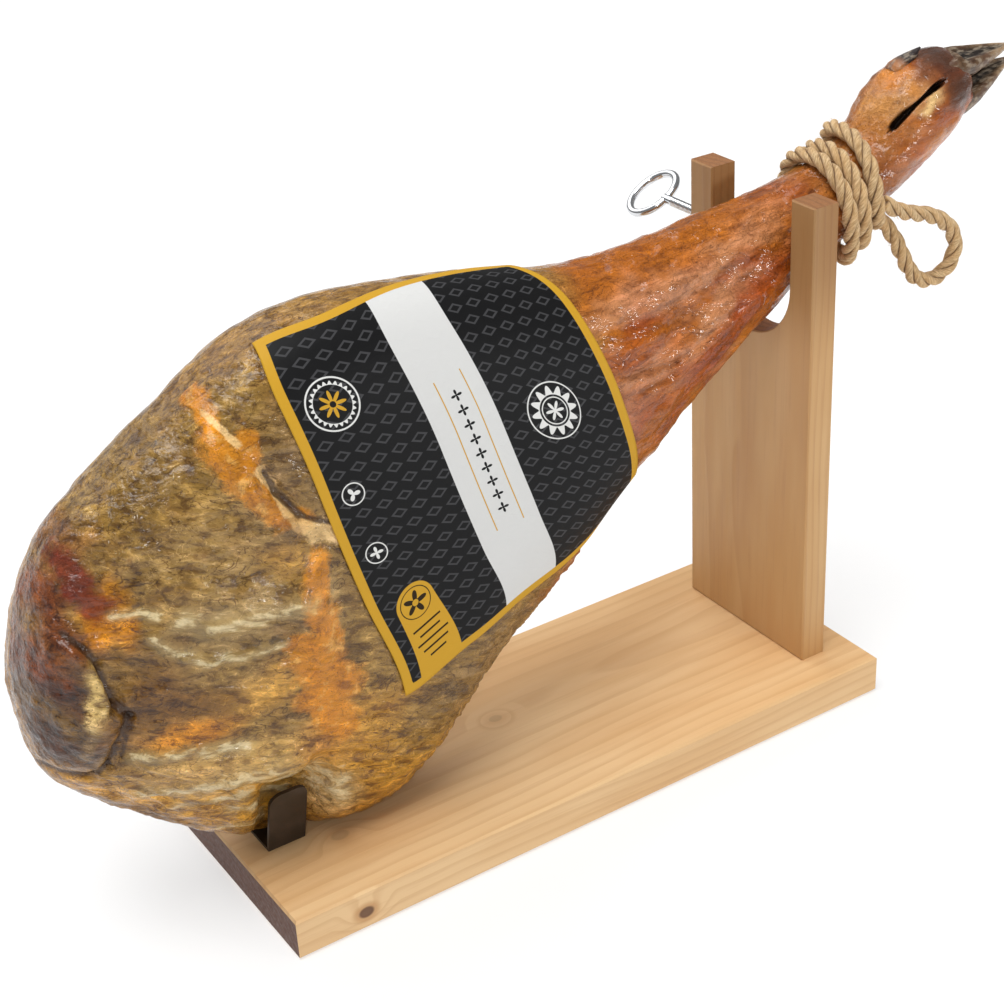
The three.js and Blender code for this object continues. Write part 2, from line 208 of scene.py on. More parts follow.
# Rope: a winding round the shank and a loop that stands out from it, both of three strands
ROPE = {
    "diameter": 9,
    "clear": 0.9,
    "strand": 2.45,
    "off_centre": 2.55,
    "pitch": 36,
    "groove": (2.6, 4.1),
    "sides": 12,
    "step": 1.1,
    "yarn_twist": 0.42,
    "yarn_length": 11,
}
WINDING = {
    "start": -180,
    "sections": [15.12, 15.33, 15.1, 15.22, 15.62, 15.76, 15.48, 15.47, 15.87, 16.24, 16.05, 15.74, 16.07],
}
FIBRES = {"per_mm": 1.6, "length": (2.5, 6.0), "radius": 0.07}
SLACK = {"drop": 9, "at": 160, "spread": 42}
LOOP = [
    (240, -30.5, 300.5),
    (245, -31.2, 297),
    (251, -32, 293.5),
    (262, -31.5, 289),
    (275.5, -31, 284.5),
    (288, -30.5, 277.8),
    (297.3, -29.5, 269.6),
    (302, -29, 259.5),
    (300.9, -28.5, 249.4),
    (293.6, -28, 241.9),
    (283.2, -27.5, 239.7),
    (273.2, -27, 243.6),
    (267, -26, 251.5),
    (261.5, -25, 262.5),
    (255.8, -24, 273.5),
    (250.5, -22.2, 281.5),
    (245.5, -20, 288),
]

# Clamp screw, as in the frame: a shaft along Y and an oval bow of wire turned about it
SCREW = {"x": 174.5, "z": 285, "shaft": 3, "tip": 31, "wire": 2.5}
THREAD = {"pitch": 1.25, "end": 84, "depth": 0.55}
BOW = {"y": 103.5, "along": 13, "across": 17.2, "turned": 30}


def srgb(red, green, blue):
    """A colour given as 0 to 255 on a screen, as linear red, green and blue."""
    values = np.array([red, green, blue]) / 255
    return np.where(values <= 0.04045, values / 12.92, ((values + 0.055) / 1.055) ** 2.4)


def seen(red, green, blue, light=0.70, sheen=0.026):
    """Surface colour that looks like the given screen colour on the ham's front, under the stage's light."""
    return np.clip((srgb(red, green, blue) - sheen) / light, 0.004, 1)


# Colours of the cured skin, as they look
OLIVE = seen(136, 108, 64)
PALE_OLIVE = seen(164, 136, 92)
DARK_OLIVE = seen(108, 84, 50)
BROWN = seen(108, 76, 32)
AMBER = seen(192, 124, 34)
ORANGE = seen(204, 130, 34)
GOLD = seen(184, 134, 60)
STRAW = seen(206, 164, 96)
CREAM = seen(224, 186, 130)
RED_BROWN = seen(104, 44, 0)
KNOB = seen(78, 56, 18)
KNOB_PALE = seen(198, 168, 106)
PURPLE = seen(112, 62, 20)
GREY = seen(126, 102, 70)
SHANK_AMBER = seen(172, 102, 32, 0.85)
SHANK_RED = seen(140, 72, 36)
SHANK_PINK = seen(182, 128, 92)
TROTTER = seen(156, 102, 60, 0.85)
TROTTER_PALE = seen(196, 150, 100, 0.85)
RIND = seen(168, 122, 62, 0.95)
RIND_DARK = seen(124, 86, 44, 0.95)
HORN_GREY = seen(92, 74, 60)
HORN_PALE = seen(150, 126, 100)
HORN_PURPLE = seen(82, 62, 54)
HORN_DARK = seen(52, 38, 30)

# Inks of the printed sheet, tones of the rope and of the pine: pale, warm, dark grain, end grain and knot
INK_BLACK = tuple(srgb(24, 24, 25))
INK_LINE = tuple(srgb(66, 66, 68))
INK_WHITE = tuple(srgb(225, 225, 222))
INK_PAPER = tuple(srgb(216, 216, 214))
INK_GOLD = tuple(srgb(204, 156, 46))
INK_BROWN = tuple(srgb(44, 32, 14))
ROPE_PALE = tuple(srgb(240, 210, 162))
ROPE_TAN = tuple(srgb(222, 180, 124))
ROPE_DARK = tuple(srgb(170, 130, 84))
WOOD_TONES = [(236, 200, 150), (222, 178, 124), (196, 144, 92), (84, 48, 34)]

# Rings of the pine, in metres: their spacing, how far they waver and how far a knot pushes them out
WOOD_RINGS = {"spacing": 0.0052, "waver": 0.022, "push": 0.008}

# Patches of colour on the front of the ham: colour, x, z, half length, half width, tilt in degrees, strength
FRONT_PATCHES = [
    (PALE_OLIVE, -196, 196, 46, 14, -8, 0.8),
    (PALE_OLIVE, -205, 236, 40, 14, -14, 0.35),
    (DARK_OLIVE, -256, 222, 14, 14, 0, 0.7),
    (DARK_OLIVE, -236, 262, 26, 10, 30, 0.45),
    (DARK_OLIVE, -214, 284, 22, 9, 30, 0.45),
    (DARK_OLIVE, -222, 194, 26, 6, -10, 0.4),
    (BROWN, -246, 167, 22, 20, 0, 0.8),
    (BROWN, -226, 152, 26, 12, -10, 0.6),
    (BROWN, -254, 196, 14, 14, 0, 0.4),
    (GOLD, -190, 150, 22, 14, 20, 0.5),
    (GREY, -160, 275, 13, 34, -22, 0.9),
    (GREY, -142, 250, 12, 16, -22, 0.9),
    (GOLD, -172, 222, 16, 8, -20, 0.4),
    (STRAW, -205, 112, 48, 12, -12, 0.75),
    (GOLD, -190, 88, 48, 14, -22, 0.9),
    (AMBER, -232, 140, 24, 7, -6, 0.8),
    (AMBER, -160, 100, 20, 22, 0, 0.55),
    # Painted highlight: a pale patch where light falls on the bulge beside the bracket
    (CREAM, -152, 58, 16, 14, 0, 0.95),
    (GOLD, -128, 68, 34, 22, 0, 0.85),
    (GOLD, -130, 100, 24, 26, 0, 0.7),
    (OLIVE, -98, 86, 24, 22, 0, 0.7),
    (GREY, -62, 104, 34, 18, 20, 0.75),
    (GREY, -40, 124, 22, 14, 30, 0.6),
    (AMBER, -262, 214, 9, 16, -24, 0.85),
    (PURPLE, -287, 226, 10, 30, 10, 0.85),
    (PURPLE, -276, 208, 10, 8, 0, 0.6),
    (PURPLE, -268, 250, 9, 10, 30, 0.5),
    (KNOB, -292, 180, 17, 32, 4, 1.0),
    (KNOB, -296, 150, 16, 24, 0, 1.0),
    (KNOB, -282, 145, 15, 14, 30, 0.9),
    (PURPLE, -296, 200, 8, 14, 0, 0.6),
    (OLIVE, -290, 166, 5, 12, 20, 0.6),
    (DARK_OLIVE, -298, 178, 5, 8, 0, 0.5),
    (PALE_OLIVE, -284, 148, 4, 8, 0, 0.5),
    (KNOB_PALE, -276, 180, 4.2, 20, -8, 0.9),
    (BROWN, -264, 150, 10, 20, 0, 0.7),
    (GOLD, -300, 120, 12, 12, 40, 0.5),
]
SHANK_PATCHES = [
    (SHANK_AMBER, 60, 302, 64, 11, 3, 0.95),
    (SHANK_AMBER, 140, 308, 50, 9, 6, 0.85),
    (SHANK_PINK, 56, 287, 38, 7, 2, 0.75),
    (SHANK_PINK, 106, 290, 34, 8, 12, 0.9),
    (SHANK_PINK, 150, 302, 26, 6, 14, 0.6),
    (SHANK_RED, 46, 262, 40, 8, 10, 0.6),
    (SHANK_AMBER, 78, 272, 30, 6, 14, 0.75),
    (SHANK_PINK, 68, 250, 34, 9, 6, 0.55),
    (SHANK_PINK, 122, 270, 38, 8, 24, 0.85),
    (SHANK_RED, 118, 252, 34, 9, 34, 0.95),
    (SHANK_RED, 84, 222, 30, 8, 36, 0.8),
    (SHANK_RED, 150, 276, 24, 8, 34, 0.7),
    (SHANK_AMBER, 64, 214, 24, 10, 36, 0.85),
    (SHANK_PINK, 44, 232, 16, 12, 10, 0.5),
    (TROTTER, 236, 325, 40, 44, 0, 0.95),
    (TROTTER_PALE, 264, 350, 30, 6, 34, 0.7),
    (SHANK_RED, 262, 324, 26, 10, 30, 0.3),
    (AMBER, 288, 326, 14, 8, 20, 0.5),
    (AMBER, 248, 345, 22, 9, 50, 0.5),
    (AMBER, 272, 364, 10, 6, 20, 0.5),
    (CREAM, 281, 351, 9, 3.5, 30, 0.95),
    (HORN_PURPLE, 301, 369, 17, 9, 10, 1.0),
    (HORN_PURPLE, 304, 350, 15, 12, 20, 1.0),
    (HORN_PURPLE, 304, 350, 13, 11, 20, 1.0),
    (HORN_PURPLE, 304, 372, 12, 8, 10, 1.0),
]

# Strokes of crisp-edged colour on the front, and pale strokes of painted highlight
AMBER_STROKES = strokes(
    [(-191, 306), (-195, 288, 5)],
    [(-192, 279), (-187, 271, 10)],
    [(-178, 285), (-183, 274, 6)],
    [(-184, 262), (-172, 246, 7), (-160, 238, 6)],
    [(-156, 214), (-160, 192, 9), (-154, 168, 10)],
    [(-174, 174), (-160, 170, 7)],
    [(-166, 160), (-150, 138, 14)],
    [(-166, 138), (-150, 112, 11)],
)
CREAM_STROKES = strokes(
    [(-192, 296), (-184, 284, 2.6)],
    [(-177, 270), (-170, 254, 3.2), (-164, 240, 4.5)],
    [(-164, 238), (-152, 231, 5.5), (-136, 224, 8)],
)
RED_STROKES = strokes([(-274, 242), (-271, 230, 8), (-265, 222, 8)])
# Painted highlights: pale strokes where light glints on the wet skin, which the material also makes less
# rough
GLOSS_AND_HIGHLIGHT_STROKES = strokes(
    [(-229, 207), (-217, 199, 5), (-190, 196, 8), (-165, 195, 5)],
    [(-244, 200), (-235, 189, 3), (-221, 181, 3.4), (-202, 177, 3.4), (-178, 176, 3)],
    [(-260, 217), (-242, 213, 2.6)],
    [(-263, 134), (-249, 133, 3), (-233, 131, 3)],
    [(-228, 127), (-205, 121, 5)],
    [(-258, 108), (-240, 102, 5), (-219, 102, 7), (-192, 100, 9), (-176, 88, 7)],
    [(-240, 88), (-205, 84, 4)],
    [(-210, 74), (-176, 62, 5)],
    [(-214, 58), (-190, 50, 4)],
    [(-166, 84), (-152, 70, 9)],
    [(-160, 70), (-147, 56, 8)],
)


def mesh_object(name, points, faces):
    """A mesh object from points in metres and a list of faces."""
    mesh = bpy.data.meshes.new(name)
    mesh.from_pydata(np.asarray(points).tolist(), [], faces)
    mesh.update()
    mesh.shade_smooth()
    made = bpy.data.objects.new(name, mesh)
    bpy.context.scene.collection.objects.link(made)
    return made


def give_attribute(piece, name, values, kind="FLOAT"):
    """Stores a value for each vertex: a number, or red, green and blue."""
    attribute = piece.data.attributes.new(name, kind, "POINT")
    if kind == "FLOAT_COLOR":
        values = np.column_stack([values, np.ones(len(values))])
        attribute.data.foreach_set("color", values.astype(np.float32).ravel())
    elif kind == "FLOAT_VECTOR":
        attribute.data.foreach_set("vector", values.astype(np.float32).ravel())
    else:
        attribute.data.foreach_set("value", values.astype(np.float32).ravel())


def smoothstep(value, low, high):
    f = np.clip((value - low) / (high - low), 0, 1)
    return f * f * (3 - 2 * f)


GRADIENTS = np.random.default_rng(4).normal(size=(512, 3))
GRADIENTS /= np.linalg.norm(GRADIENTS, axis=1, keepdims=True)


def perlin(points, size, seed=0.0):
    """Smooth noise from about -1 to 1 at points in mm. Size is a feature's length, one or one per axis."""
    at = np.asarray(points, float) / np.asarray(size, float) + seed
    cell = np.floor(at).astype(np.int64)
    inside = at - cell
    fade = inside**3 * (inside * (inside * 6 - 15) + 10)
    total = 0
    for corner in np.ndindex(2, 2, 2):
        spot = cell + corner
        mixed = (spot[..., 0] * 73856093) ^ (spot[..., 1] * 19349663) ^ (spot[..., 2] * 83492791)
        slope = GRADIENTS[(mixed ^ (mixed >> 9)) % len(GRADIENTS)]
        weight = np.where(corner, fade, 1 - fade).prod(-1)
        total = total + weight * (slope * (inside - corner)).sum(-1)
    return 1.6 * total


# Camera and stage

def make_camera():
    towards = Vector(CAMERA["towards"]).normalized()
    right = towards.cross(Vector((0, 0, 1))).normalized()
    up = right.cross(towards)
    roll = math.radians(CAMERA["roll"])
    turned_right = right * math.cos(roll) + up * math.sin(roll)
    turned_up = up * math.cos(roll) - right * math.sin(roll)
    data = bpy.data.cameras.new("camera")
    data.lens = CAMERA["lens"]
    data.sensor_width = CAMERA["sensor"]
    camera = bpy.data.objects.new("camera", data)
    turn = Matrix((turned_right, turned_up, -towards)).transposed()
    camera.matrix_world = Matrix.Translation(CAMERA["at"]) @ turn.to_4x4()
    bpy.context.scene.collection.objects.link(camera)
    bpy.context.scene.camera = camera


def place_light(name, data, at):
    lamp = bpy.data.objects.new(name, data)
    lamp.location = at
    lamp.rotation_euler = (Vector(STAGE["aim"]) - Vector(at)).to_track_quat("-Z", "Y").to_euler()
    bpy.context.scene.collection.objects.link(lamp)


def make_stage():
    scene = bpy.context.scene
    scene.view_settings.view_transform = "Standard"
    scene.view_settings.look = "None"
    world = bpy.data.worlds.new("studio")
    world.use_nodes = True
    sky = world.node_tree.nodes["Background"]
    sky.inputs["Color"].default_value = (1.0, 1.0, 1.0, 1)
    sky.inputs["Strength"].default_value = STAGE["sky"]
    scene.world = world
    far = STAGE["floor"]
    corners = [(-far, -far, 0), (far, -far, 0), (far, far, 0), (-far, far, 0)]
    floor = mesh_object("floor", corners, [(0, 1, 2, 3)])
    floor.location.z = -0.0005
    glow = {"Emission_Color": (1, 1, 1), "Emission_Strength": STAGE["floor_glow"]}
    floor.data.materials.append(Shader("floor").finish(STAGE["floor_tone"], roughness=0.9, **glow))
    for name, (strength, wide, at) in STAGE["suns"].items():
        sun = bpy.data.lights.new(name, "SUN")
        sun.energy = strength
        sun.angle = math.radians(wide)
        place_light(name, sun, at)
    for name, (at, size, power) in STAGE["glints"].items():
        lamp = bpy.data.lights.new(name, "AREA")
        lamp.shape = "DISK"
        lamp.size = size
        lamp.energy = power
        place_light(name, lamp, at)


# Materials: a small helper that builds shader nodes

class Shader:
    """Builds one material. Values are numbers, tuples or the outputs of earlier nodes."""

    def __init__(self, name):
        self.material = bpy.data.materials.new(name)
        self.material.use_nodes = True
        self.tree = self.material.node_tree
        self.tree.nodes.clear()

    def node(self, kind, settings=None, **inputs):
        made = self.tree.nodes.new(kind)
        for key, value in (settings or {}).items():
            setattr(made, key, value)
        for key, value in inputs.items():
            self.put(made.inputs[key.replace("_", " ")], value)
        return made

    def put(self, socket, value):
        if isinstance(value, bpy.types.NodeSocket):
            self.tree.links.new(value, socket)
        elif socket.type == "RGBA":
            socket.default_value = (*value, 1) if len(value) == 3 else value
        elif value is not None:
            socket.default_value = value

    def math(self, operation, *values):
        made = self.tree.nodes.new("ShaderNodeMath")
        made.operation = operation
        for socket, value in zip(made.inputs, values):
            self.put(socket, value)
        return made.outputs[0]

    def range(self, value, low, high, to_low=0.0, to_high=1.0, smooth=True):
        settings = {"interpolation_type": "SMOOTHSTEP" if smooth else "LINEAR"}
        made = self.node("ShaderNodeMapRange", settings, Value=value)
        for key, number in (("From Min", low), ("From Max", high), ("To Min", to_low), ("To Max", to_high)):
            self.put(made.inputs[key], number)
        return made.outputs["Result"]

    def mix(self, amount, first, second, blend="MIX"):
        made = self.tree.nodes.new("ShaderNodeMix")
        made.data_type = "RGBA"
        made.blend_type = blend
        self.put(made.inputs[0], amount)
        self.put(made.inputs[6], first)
        self.put(made.inputs[7], second)
        return made.outputs[2]

    def tinted(self, colour, *layers):
        """A colour multiplied by the tone of each layer in turn, as far as the layer's amount."""
        for amount, tone in layers:
            colour = self.mix(amount, colour, tone, "MULTIPLY")
        return colour

    def total(self, first, *others):
        """Sum of values, each given with its factor."""
        whole = self.math("MULTIPLY", *first)
        for other in others:
            whole = self.math("ADD", whole, self.math("MULTIPLY", *other))
        return whole

    def attribute(self, name, output="Fac"):
        return self.node("ShaderNodeAttribute", {"attribute_name": name}).outputs[output]

    def mapped(self, vector, scale=(1, 1, 1), turn=(0, 0, 0)):
        return self.node("ShaderNodeMapping", Vector=vector, Scale=scale, Rotation=turn).outputs[0]

    def place(self, scale=(1, 1, 1), turn=(0, 0, 0)):
        """Position in the object's own frame in metres, scaled and turned."""
        return self.mapped(self.node("ShaderNodeTexCoord").outputs["Object"], scale, turn)

    def lined(self, climb, stretch):
        """Position whose X climbs by an angle from the object's own X, drawn out along it."""
        return self.mapped(self.place(turn=(0, math.radians(climb), 0)), (1 / stretch, 1, 1))

    def split(self, vector):
        return self.node("ShaderNodeSeparateXYZ", Vector=vector).outputs

    def noise(self, at, scale, detail=3.0, roughness=0.55, distortion=0.0):
        made = self.node("ShaderNodeTexNoise", Vector=at, Scale=scale, Detail=detail, Roughness=roughness,
                         Distortion=distortion)
        return made.outputs["Fac"]

    def bump(self, height, distance, strength=1.0):
        return self.node("ShaderNodeBump", Height=height, Distance=distance, Strength=strength).outputs[0]

    def finish(self, colour, roughness=0.5, normal=None, **more):
        """Ends the material in a Principled surface. Further inputs are named with _ for a space."""
        made = self.node("ShaderNodeBsdfPrincipled", None, Base_Color=colour, Roughness=roughness)
        for key, value in more.items():
            self.put(made.inputs[key.replace("_", " ")], value)
        if normal is not None:
            self.put(made.inputs["Normal"], normal)
        out = self.node("ShaderNodeOutputMaterial")
        self.tree.links.new(made.outputs[0], out.inputs["Surface"])
        return self.material


def wear(piece, material):
    piece.data.materials.clear()
    piece.data.materials.append(material)


# The ham's skin

def rows_at(rows, u):
    """Smooth curve through the rows of a table at row numbers u, which may be an array."""
    last = len(rows) - 1
    i = np.clip(np.floor(u).astype(int), 0, last - 1)
    f = (np.asarray(u) - i)[..., None]
    before, here = rows[np.maximum(i - 1, 0)], rows[i]
    end, after = rows[i + 1], rows[np.minimum(i + 2, last)]
    leave, arrive = (end - before) / 2, (after - here) / 2
    square = 3 * (end - here) - 2 * leave - arrive
    cube = 2 * (here - end) + leave + arrive
    return here + f * (leave + f * (square + f * cube))


def list_at(values, f):
    """Smooth curve through a list of numbers at even steps, at the fraction f along it."""
    rows = np.array(values, float)[:, None]
    return rows_at(rows, np.asarray(f) * (len(values) - 1))[..., 0]


def from_line(x1, z1, x2, z2, x, z):
    """Distance of each point from a stroke's line."""
    dx, dz = x2 - x1, z2 - z1
    f = np.clip(((x - x1) * dx + (z - z1) * dz) / (dx * dx + dz * dz), 0, 1)
    return np.hypot(x - x1 - f * dx, z - z1 - f * dz)


def relief_at(rows, x, z):
    """Height of the relief: every stroke fades with the distance from its line."""
    height = np.zeros_like(x)
    for *line, width, rise in rows:
        away = from_line(*line, x, z) / width
        height += rise * np.exp(-away * away)
    return height


def skin_point(u, degrees):
    """Points of the ham's plain skin in millimetres. Angle 0 is the top of a section and 90 its front."""
    u, degrees = np.broadcast_arrays(np.asarray(u, float), np.asarray(degrees, float))
    top_x, top_z, bottom_x, bottom_z, front, back, square, thinner = np.moveaxis(rows_at(SECTIONS, u), -1, 0)
    c, s = np.cos(np.radians(degrees)), np.sin(np.radians(degrees))
    reached = (np.abs(c) ** square + np.abs(s) ** square) ** (-1 / square)
    up, out = c * reached, s * reached
    x = bottom_x + (top_x - bottom_x) * (up + 1) / 2
    z = bottom_z + (top_z - bottom_z) * (up + 1) / 2
    thin = 1 - thinner * np.minimum(up, 0) ** 2
    beside = np.exp(-(((x - PINCH["x"]) / PINCH["reach"]) ** 4))
    squeeze = beside * smoothstep(PINCH["top"] - z, 0, PINCH["fade"])
    reach = out * thin * (1 - PINCH["depth"] * squeeze)
    broad = smoothstep(np.abs(reach), 0.2, 0.8)
    ahead = -front * reach - broad * relief_at(FRONT_RELIEF, x, z)
    behind = -back * reach + broad * relief_at(BACK_RELIEF, x, z)
    return np.stack([x, np.where(reach > 0, ahead, behind), z], -1)


def skin_normal(u, degrees):
    lengthways = skin_point(u + 0.01, degrees) - skin_point(u - 0.01, degrees)
    around = skin_point(u, degrees + 0.5) - skin_point(u, degrees - 0.5)
    normal = np.cross(around, lengthways)
    return normal / np.maximum(np.linalg.norm(normal, axis=-1, keepdims=True), 1e-9)


def grid_faces(rows, columns, closed):
    """Faces of a grid of points; a closed one joins its last column to its first."""
    i, j = np.meshgrid(np.arange(rows - 1), np.arange(columns if closed else columns - 1), indexing="ij")
    k = (j + 1) % columns
    corners = [i * columns + j, i * columns + k, (i + 1) * columns + k, (i + 1) * columns + j]
    return np.stack(corners, -1).reshape(-1, 4).tolist()


def closed_object(name, rings):
    """A closed body through rings of points in millimetres, with a fan over each end, and its end points."""
    count = rings.shape[1]
    ends = np.array([rings[0].mean(0), rings[-1].mean(0)])
    start, end = rings.shape[0] * count, rings.shape[0] * count + 1
    last_ring = (rings.shape[0] - 1) * count
    faces = grid_faces(rings.shape[0], count, True)
    faces += [(start, (j + 1) % count, j) for j in range(count)]
    faces += [(end, last_ring + j, last_ring + (j + 1) % count) for j in range(count)]
    return mesh_object(name, np.vstack([rings.reshape(-1, 3), ends]) * MM, faces)


def under_sheet(u, degrees):
    """1 under the printed sheet, fading to 0 a little outside it."""
    s = np.full_like(u, 0.5)
    t = np.full_like(u, 0.5)
    for _ in range(6):
        left, right = list_at(SHEET["left"], np.clip(t, 0, 1)), list_at(SHEET["right"], np.clip(t, 0, 1))
        s = (u - left) / (right - left)
        top, bottom = list_at(SHEET["top"], np.clip(s, 0, 1)), list_at(SHEET["bottom"], np.clip(s, 0, 1))
        t = (degrees - top) / (bottom - top)
    inside = np.minimum(np.minimum(s, 1 - s), np.minimum(t, 1 - t))
    return smoothstep(inside, -0.07, 0.0)


def skin_detail(points, u, degrees):
    """Height of the fine relief over the plain skin, in millimetres, and how wrinkled each point is."""
    x, z = points[..., 0], points[..., 2]
    front = smoothstep(np.sin(np.radians(degrees)), 0.05, 0.45)
    lumps = 0.9 * perlin(points, 38, 3.1) + 0.6 * perlin(points, 15, 7.7)
    fibres = 0.4 * perlin(points, (18, 7, 5), 1.3) + 0.25 * perlin(points, (9, 4, 3.2), 6.1)
    fine = front * (relief_at(FINE_FRONT, x, z) + relief_at(CREASES, x, z))
    low = smoothstep(-np.cos(np.radians(degrees)), 0.2, 0.75)
    rim = low * smoothstep(13.5 - u, 0, 2.5) * smoothstep(u, 2.0, 3.2)
    wrinkles = rim * 1.3 * (1 - 2.6 * np.abs(perlin(points @ RIM_SLANT, (30, 12, 7), 5.0)))
    leg = smoothstep(u, 10.4, 11.6) * smoothstep(15.2 - u, 0, 1)
    creases = leg * 0.9 * (0.7 - 2.0 * np.abs(perlin(points @ LEG_SLANT, (40, 9, 8), 2.2)))
    foot = smoothstep(u, 15.6, 16.6) * 0.5 * perlin(points, (12, 7, 6), 9.0)
    end_x, end_z = (x - BONE_END["x"]) / BONE_END["half_long"], (z - BONE_END["z"]) / BONE_END["half_high"]
    knob = np.exp(-((end_x**2 + end_z**2) ** 2))
    fibres = fibres + knob * (0.8 * perlin(points, 11, 16.0) + 0.5 * perlin(points, 5, 17.0))
    height = lumps + fibres + fine + wrinkles + creases + foot
    return height * (1 - under_sheet(u, degrees)) * smoothstep(19.0 - u, 0, 0.6), rim


def nearness(rows, x, z):
    """1 on the nearest stroke's line, 0 at its side and -1 a further half width away."""
    near = np.full_like(x, -1.0)
    for *line, width in rows:
        near = np.maximum(near, 1 - from_line(*line, x, z) / width)
    return near


def cleft_depth(points):
    """How far the slit between the toes goes in at each point of the foot's front."""
    start, end = np.array(CLEFT["from"], float), np.array(CLEFT["to"], float)
    line = end - start
    f = np.clip(((points - start) @ line) / (line @ line), 0, 1)
    to_line = points - start - f[..., None] * line
    run = np.hypot(line[0], line[2])
    aside = (to_line[..., 2] * line[0] - to_line[..., 0] * line[2]) / run
    past = np.abs(to_line[..., 0] * line[0] + to_line[..., 2] * line[2]) / run
    away = np.hypot(aside - 4 * CLEFT["bow"] * f * (1 - f), past)
    wide = CLEFT["wide"] * (0.75 + 0.25 * np.sin(9 * f)) * smoothstep(np.minimum(f, 1 - f), -0.02, 0.08)
    inside = np.clip(1 - (away / np.maximum(wide, 0.01)) ** 2, 0, 1)
    front = points[..., 1] < -6
    return CLEFT["deep"] * np.sqrt(inside) * front


def blend(first, second, weight):
    """From the first colour to the second by a weight at each point."""
    return first + weight[..., None] * (second - first)


def patch_tint(tint, patches, x, z, amount):
    """Lays patches of colour over a tint. Each fades from its middle to its edge."""
    for colour, px, pz, long, short, tilt, strength in patches:
        c, s = math.cos(math.radians(tilt)), math.sin(math.radians(tilt))
        along = ((x - px) * c + (z - pz) * s) / long
        across = ((z - pz) * c - (x - px) * s) / short
        weight = strength * amount * np.exp(-((along**2 + across**2) ** 1.4))
        tint = blend(tint, colour, weight)
    return tint


def skin_tint(points, u, degrees):
    """Colour of the skin at each point, before the fine mottling of its material."""
    warp_x = 6 * perlin(points, 24, 11.0) + 4 * perlin(points, 9, 12.0)
    warp_z = 6 * perlin(points, 24, 13.0) + 4 * perlin(points, 9, 14.0)
    x, z = points[..., 0] + warp_x, points[..., 2] + warp_z
    front = smoothstep(np.sin(np.radians(degrees)) + 0.5 * np.cos(np.radians(degrees)), 0.0, 0.2)
    patchy = perlin(points, 30, 21.0)
    streaky = perlin(points, (26, 10, 8), 23.0)
    rusty = np.clip(perlin(points, 12, 27.0) - 0.1, 0, 1)
    olive = blend(OLIVE, PALE_OLIVE, 0.6 * np.clip(patchy, 0, 1))
    olive = blend(olive, DARK_OLIVE, 0.8 * np.clip(-streaky, 0, 1))
    olive = blend(olive, BROWN, 0.7 * rusty)
    rind = blend(RIND, GOLD, 0.9 * np.clip(patchy, 0, 1))
    rind = blend(rind, RIND_DARK, 0.9 * np.clip(-streaky, 0, 1))
    low = smoothstep(-np.cos(np.radians(degrees)), 0.35, 0.8) * smoothstep(11.0 - u, 0, 2)
    high = smoothstep(np.cos(np.radians(degrees)), 0.90, 0.99)
    body = blend(olive, GOLD, low)
    body = blend(body, RIND, 0.5 * high * smoothstep(u, 4, 6))
    body = patch_tint(body, FRONT_PATCHES, x, z, front)
    leg = blend(SHANK_RED, SHANK_AMBER, np.clip(0.5 + 1.2 * patchy, 0, 1))
    leg = blend(leg, SHANK_PINK, np.clip(streaky, 0, 1))
    to_leg = smoothstep(u + 0.5 * perlin(points, 18, 4.0), 10.2, 11.4)
    face = blend(body, leg, to_leg)
    face = patch_tint(face, SHANK_PATCHES, x, z, front * smoothstep(u, 10.0, 11.0))
    back = blend(rind, leg, 0.5 * to_leg)
    back = blend(back, TROTTER, smoothstep(u, 15.5, 16.5))
    return np.clip(blend(back, face, front), 0.002, 1)


def skin_masks(points, u, degrees):
    """How near each point is to the strokes of each crisp colour, of painted highlight and of painted crease
    shade, whose ragged edges the material gives.
    """
    warp = 2.5 * perlin(points, 13, 31.0)
    x, z = points[..., 0] + warp, points[..., 2] + 2.5 * perlin(points, 13, 33.0)
    front = np.sin(np.radians(degrees)) > 0.1
    tables = {"amber": AMBER_STROKES, "cream": CREAM_STROKES, "red": RED_STROKES, "gloss_and_highlight": GLOSS_AND_HIGHLIGHT_STROKES}
    masks = {name: np.where(front, nearness(rows, x, z), -1.0) for name, rows in tables.items()}
    crease_rows = [row[:5] for row in CREASES]
    masks["crease_shade"] = np.where(front, nearness(crease_rows, points[..., 0], points[..., 2]), -1.0)
    masks["leg"] = smoothstep(u, 10.0, 11.5)
    masks["foot"] = smoothstep(u, 15.4, 16.4)
    return masks


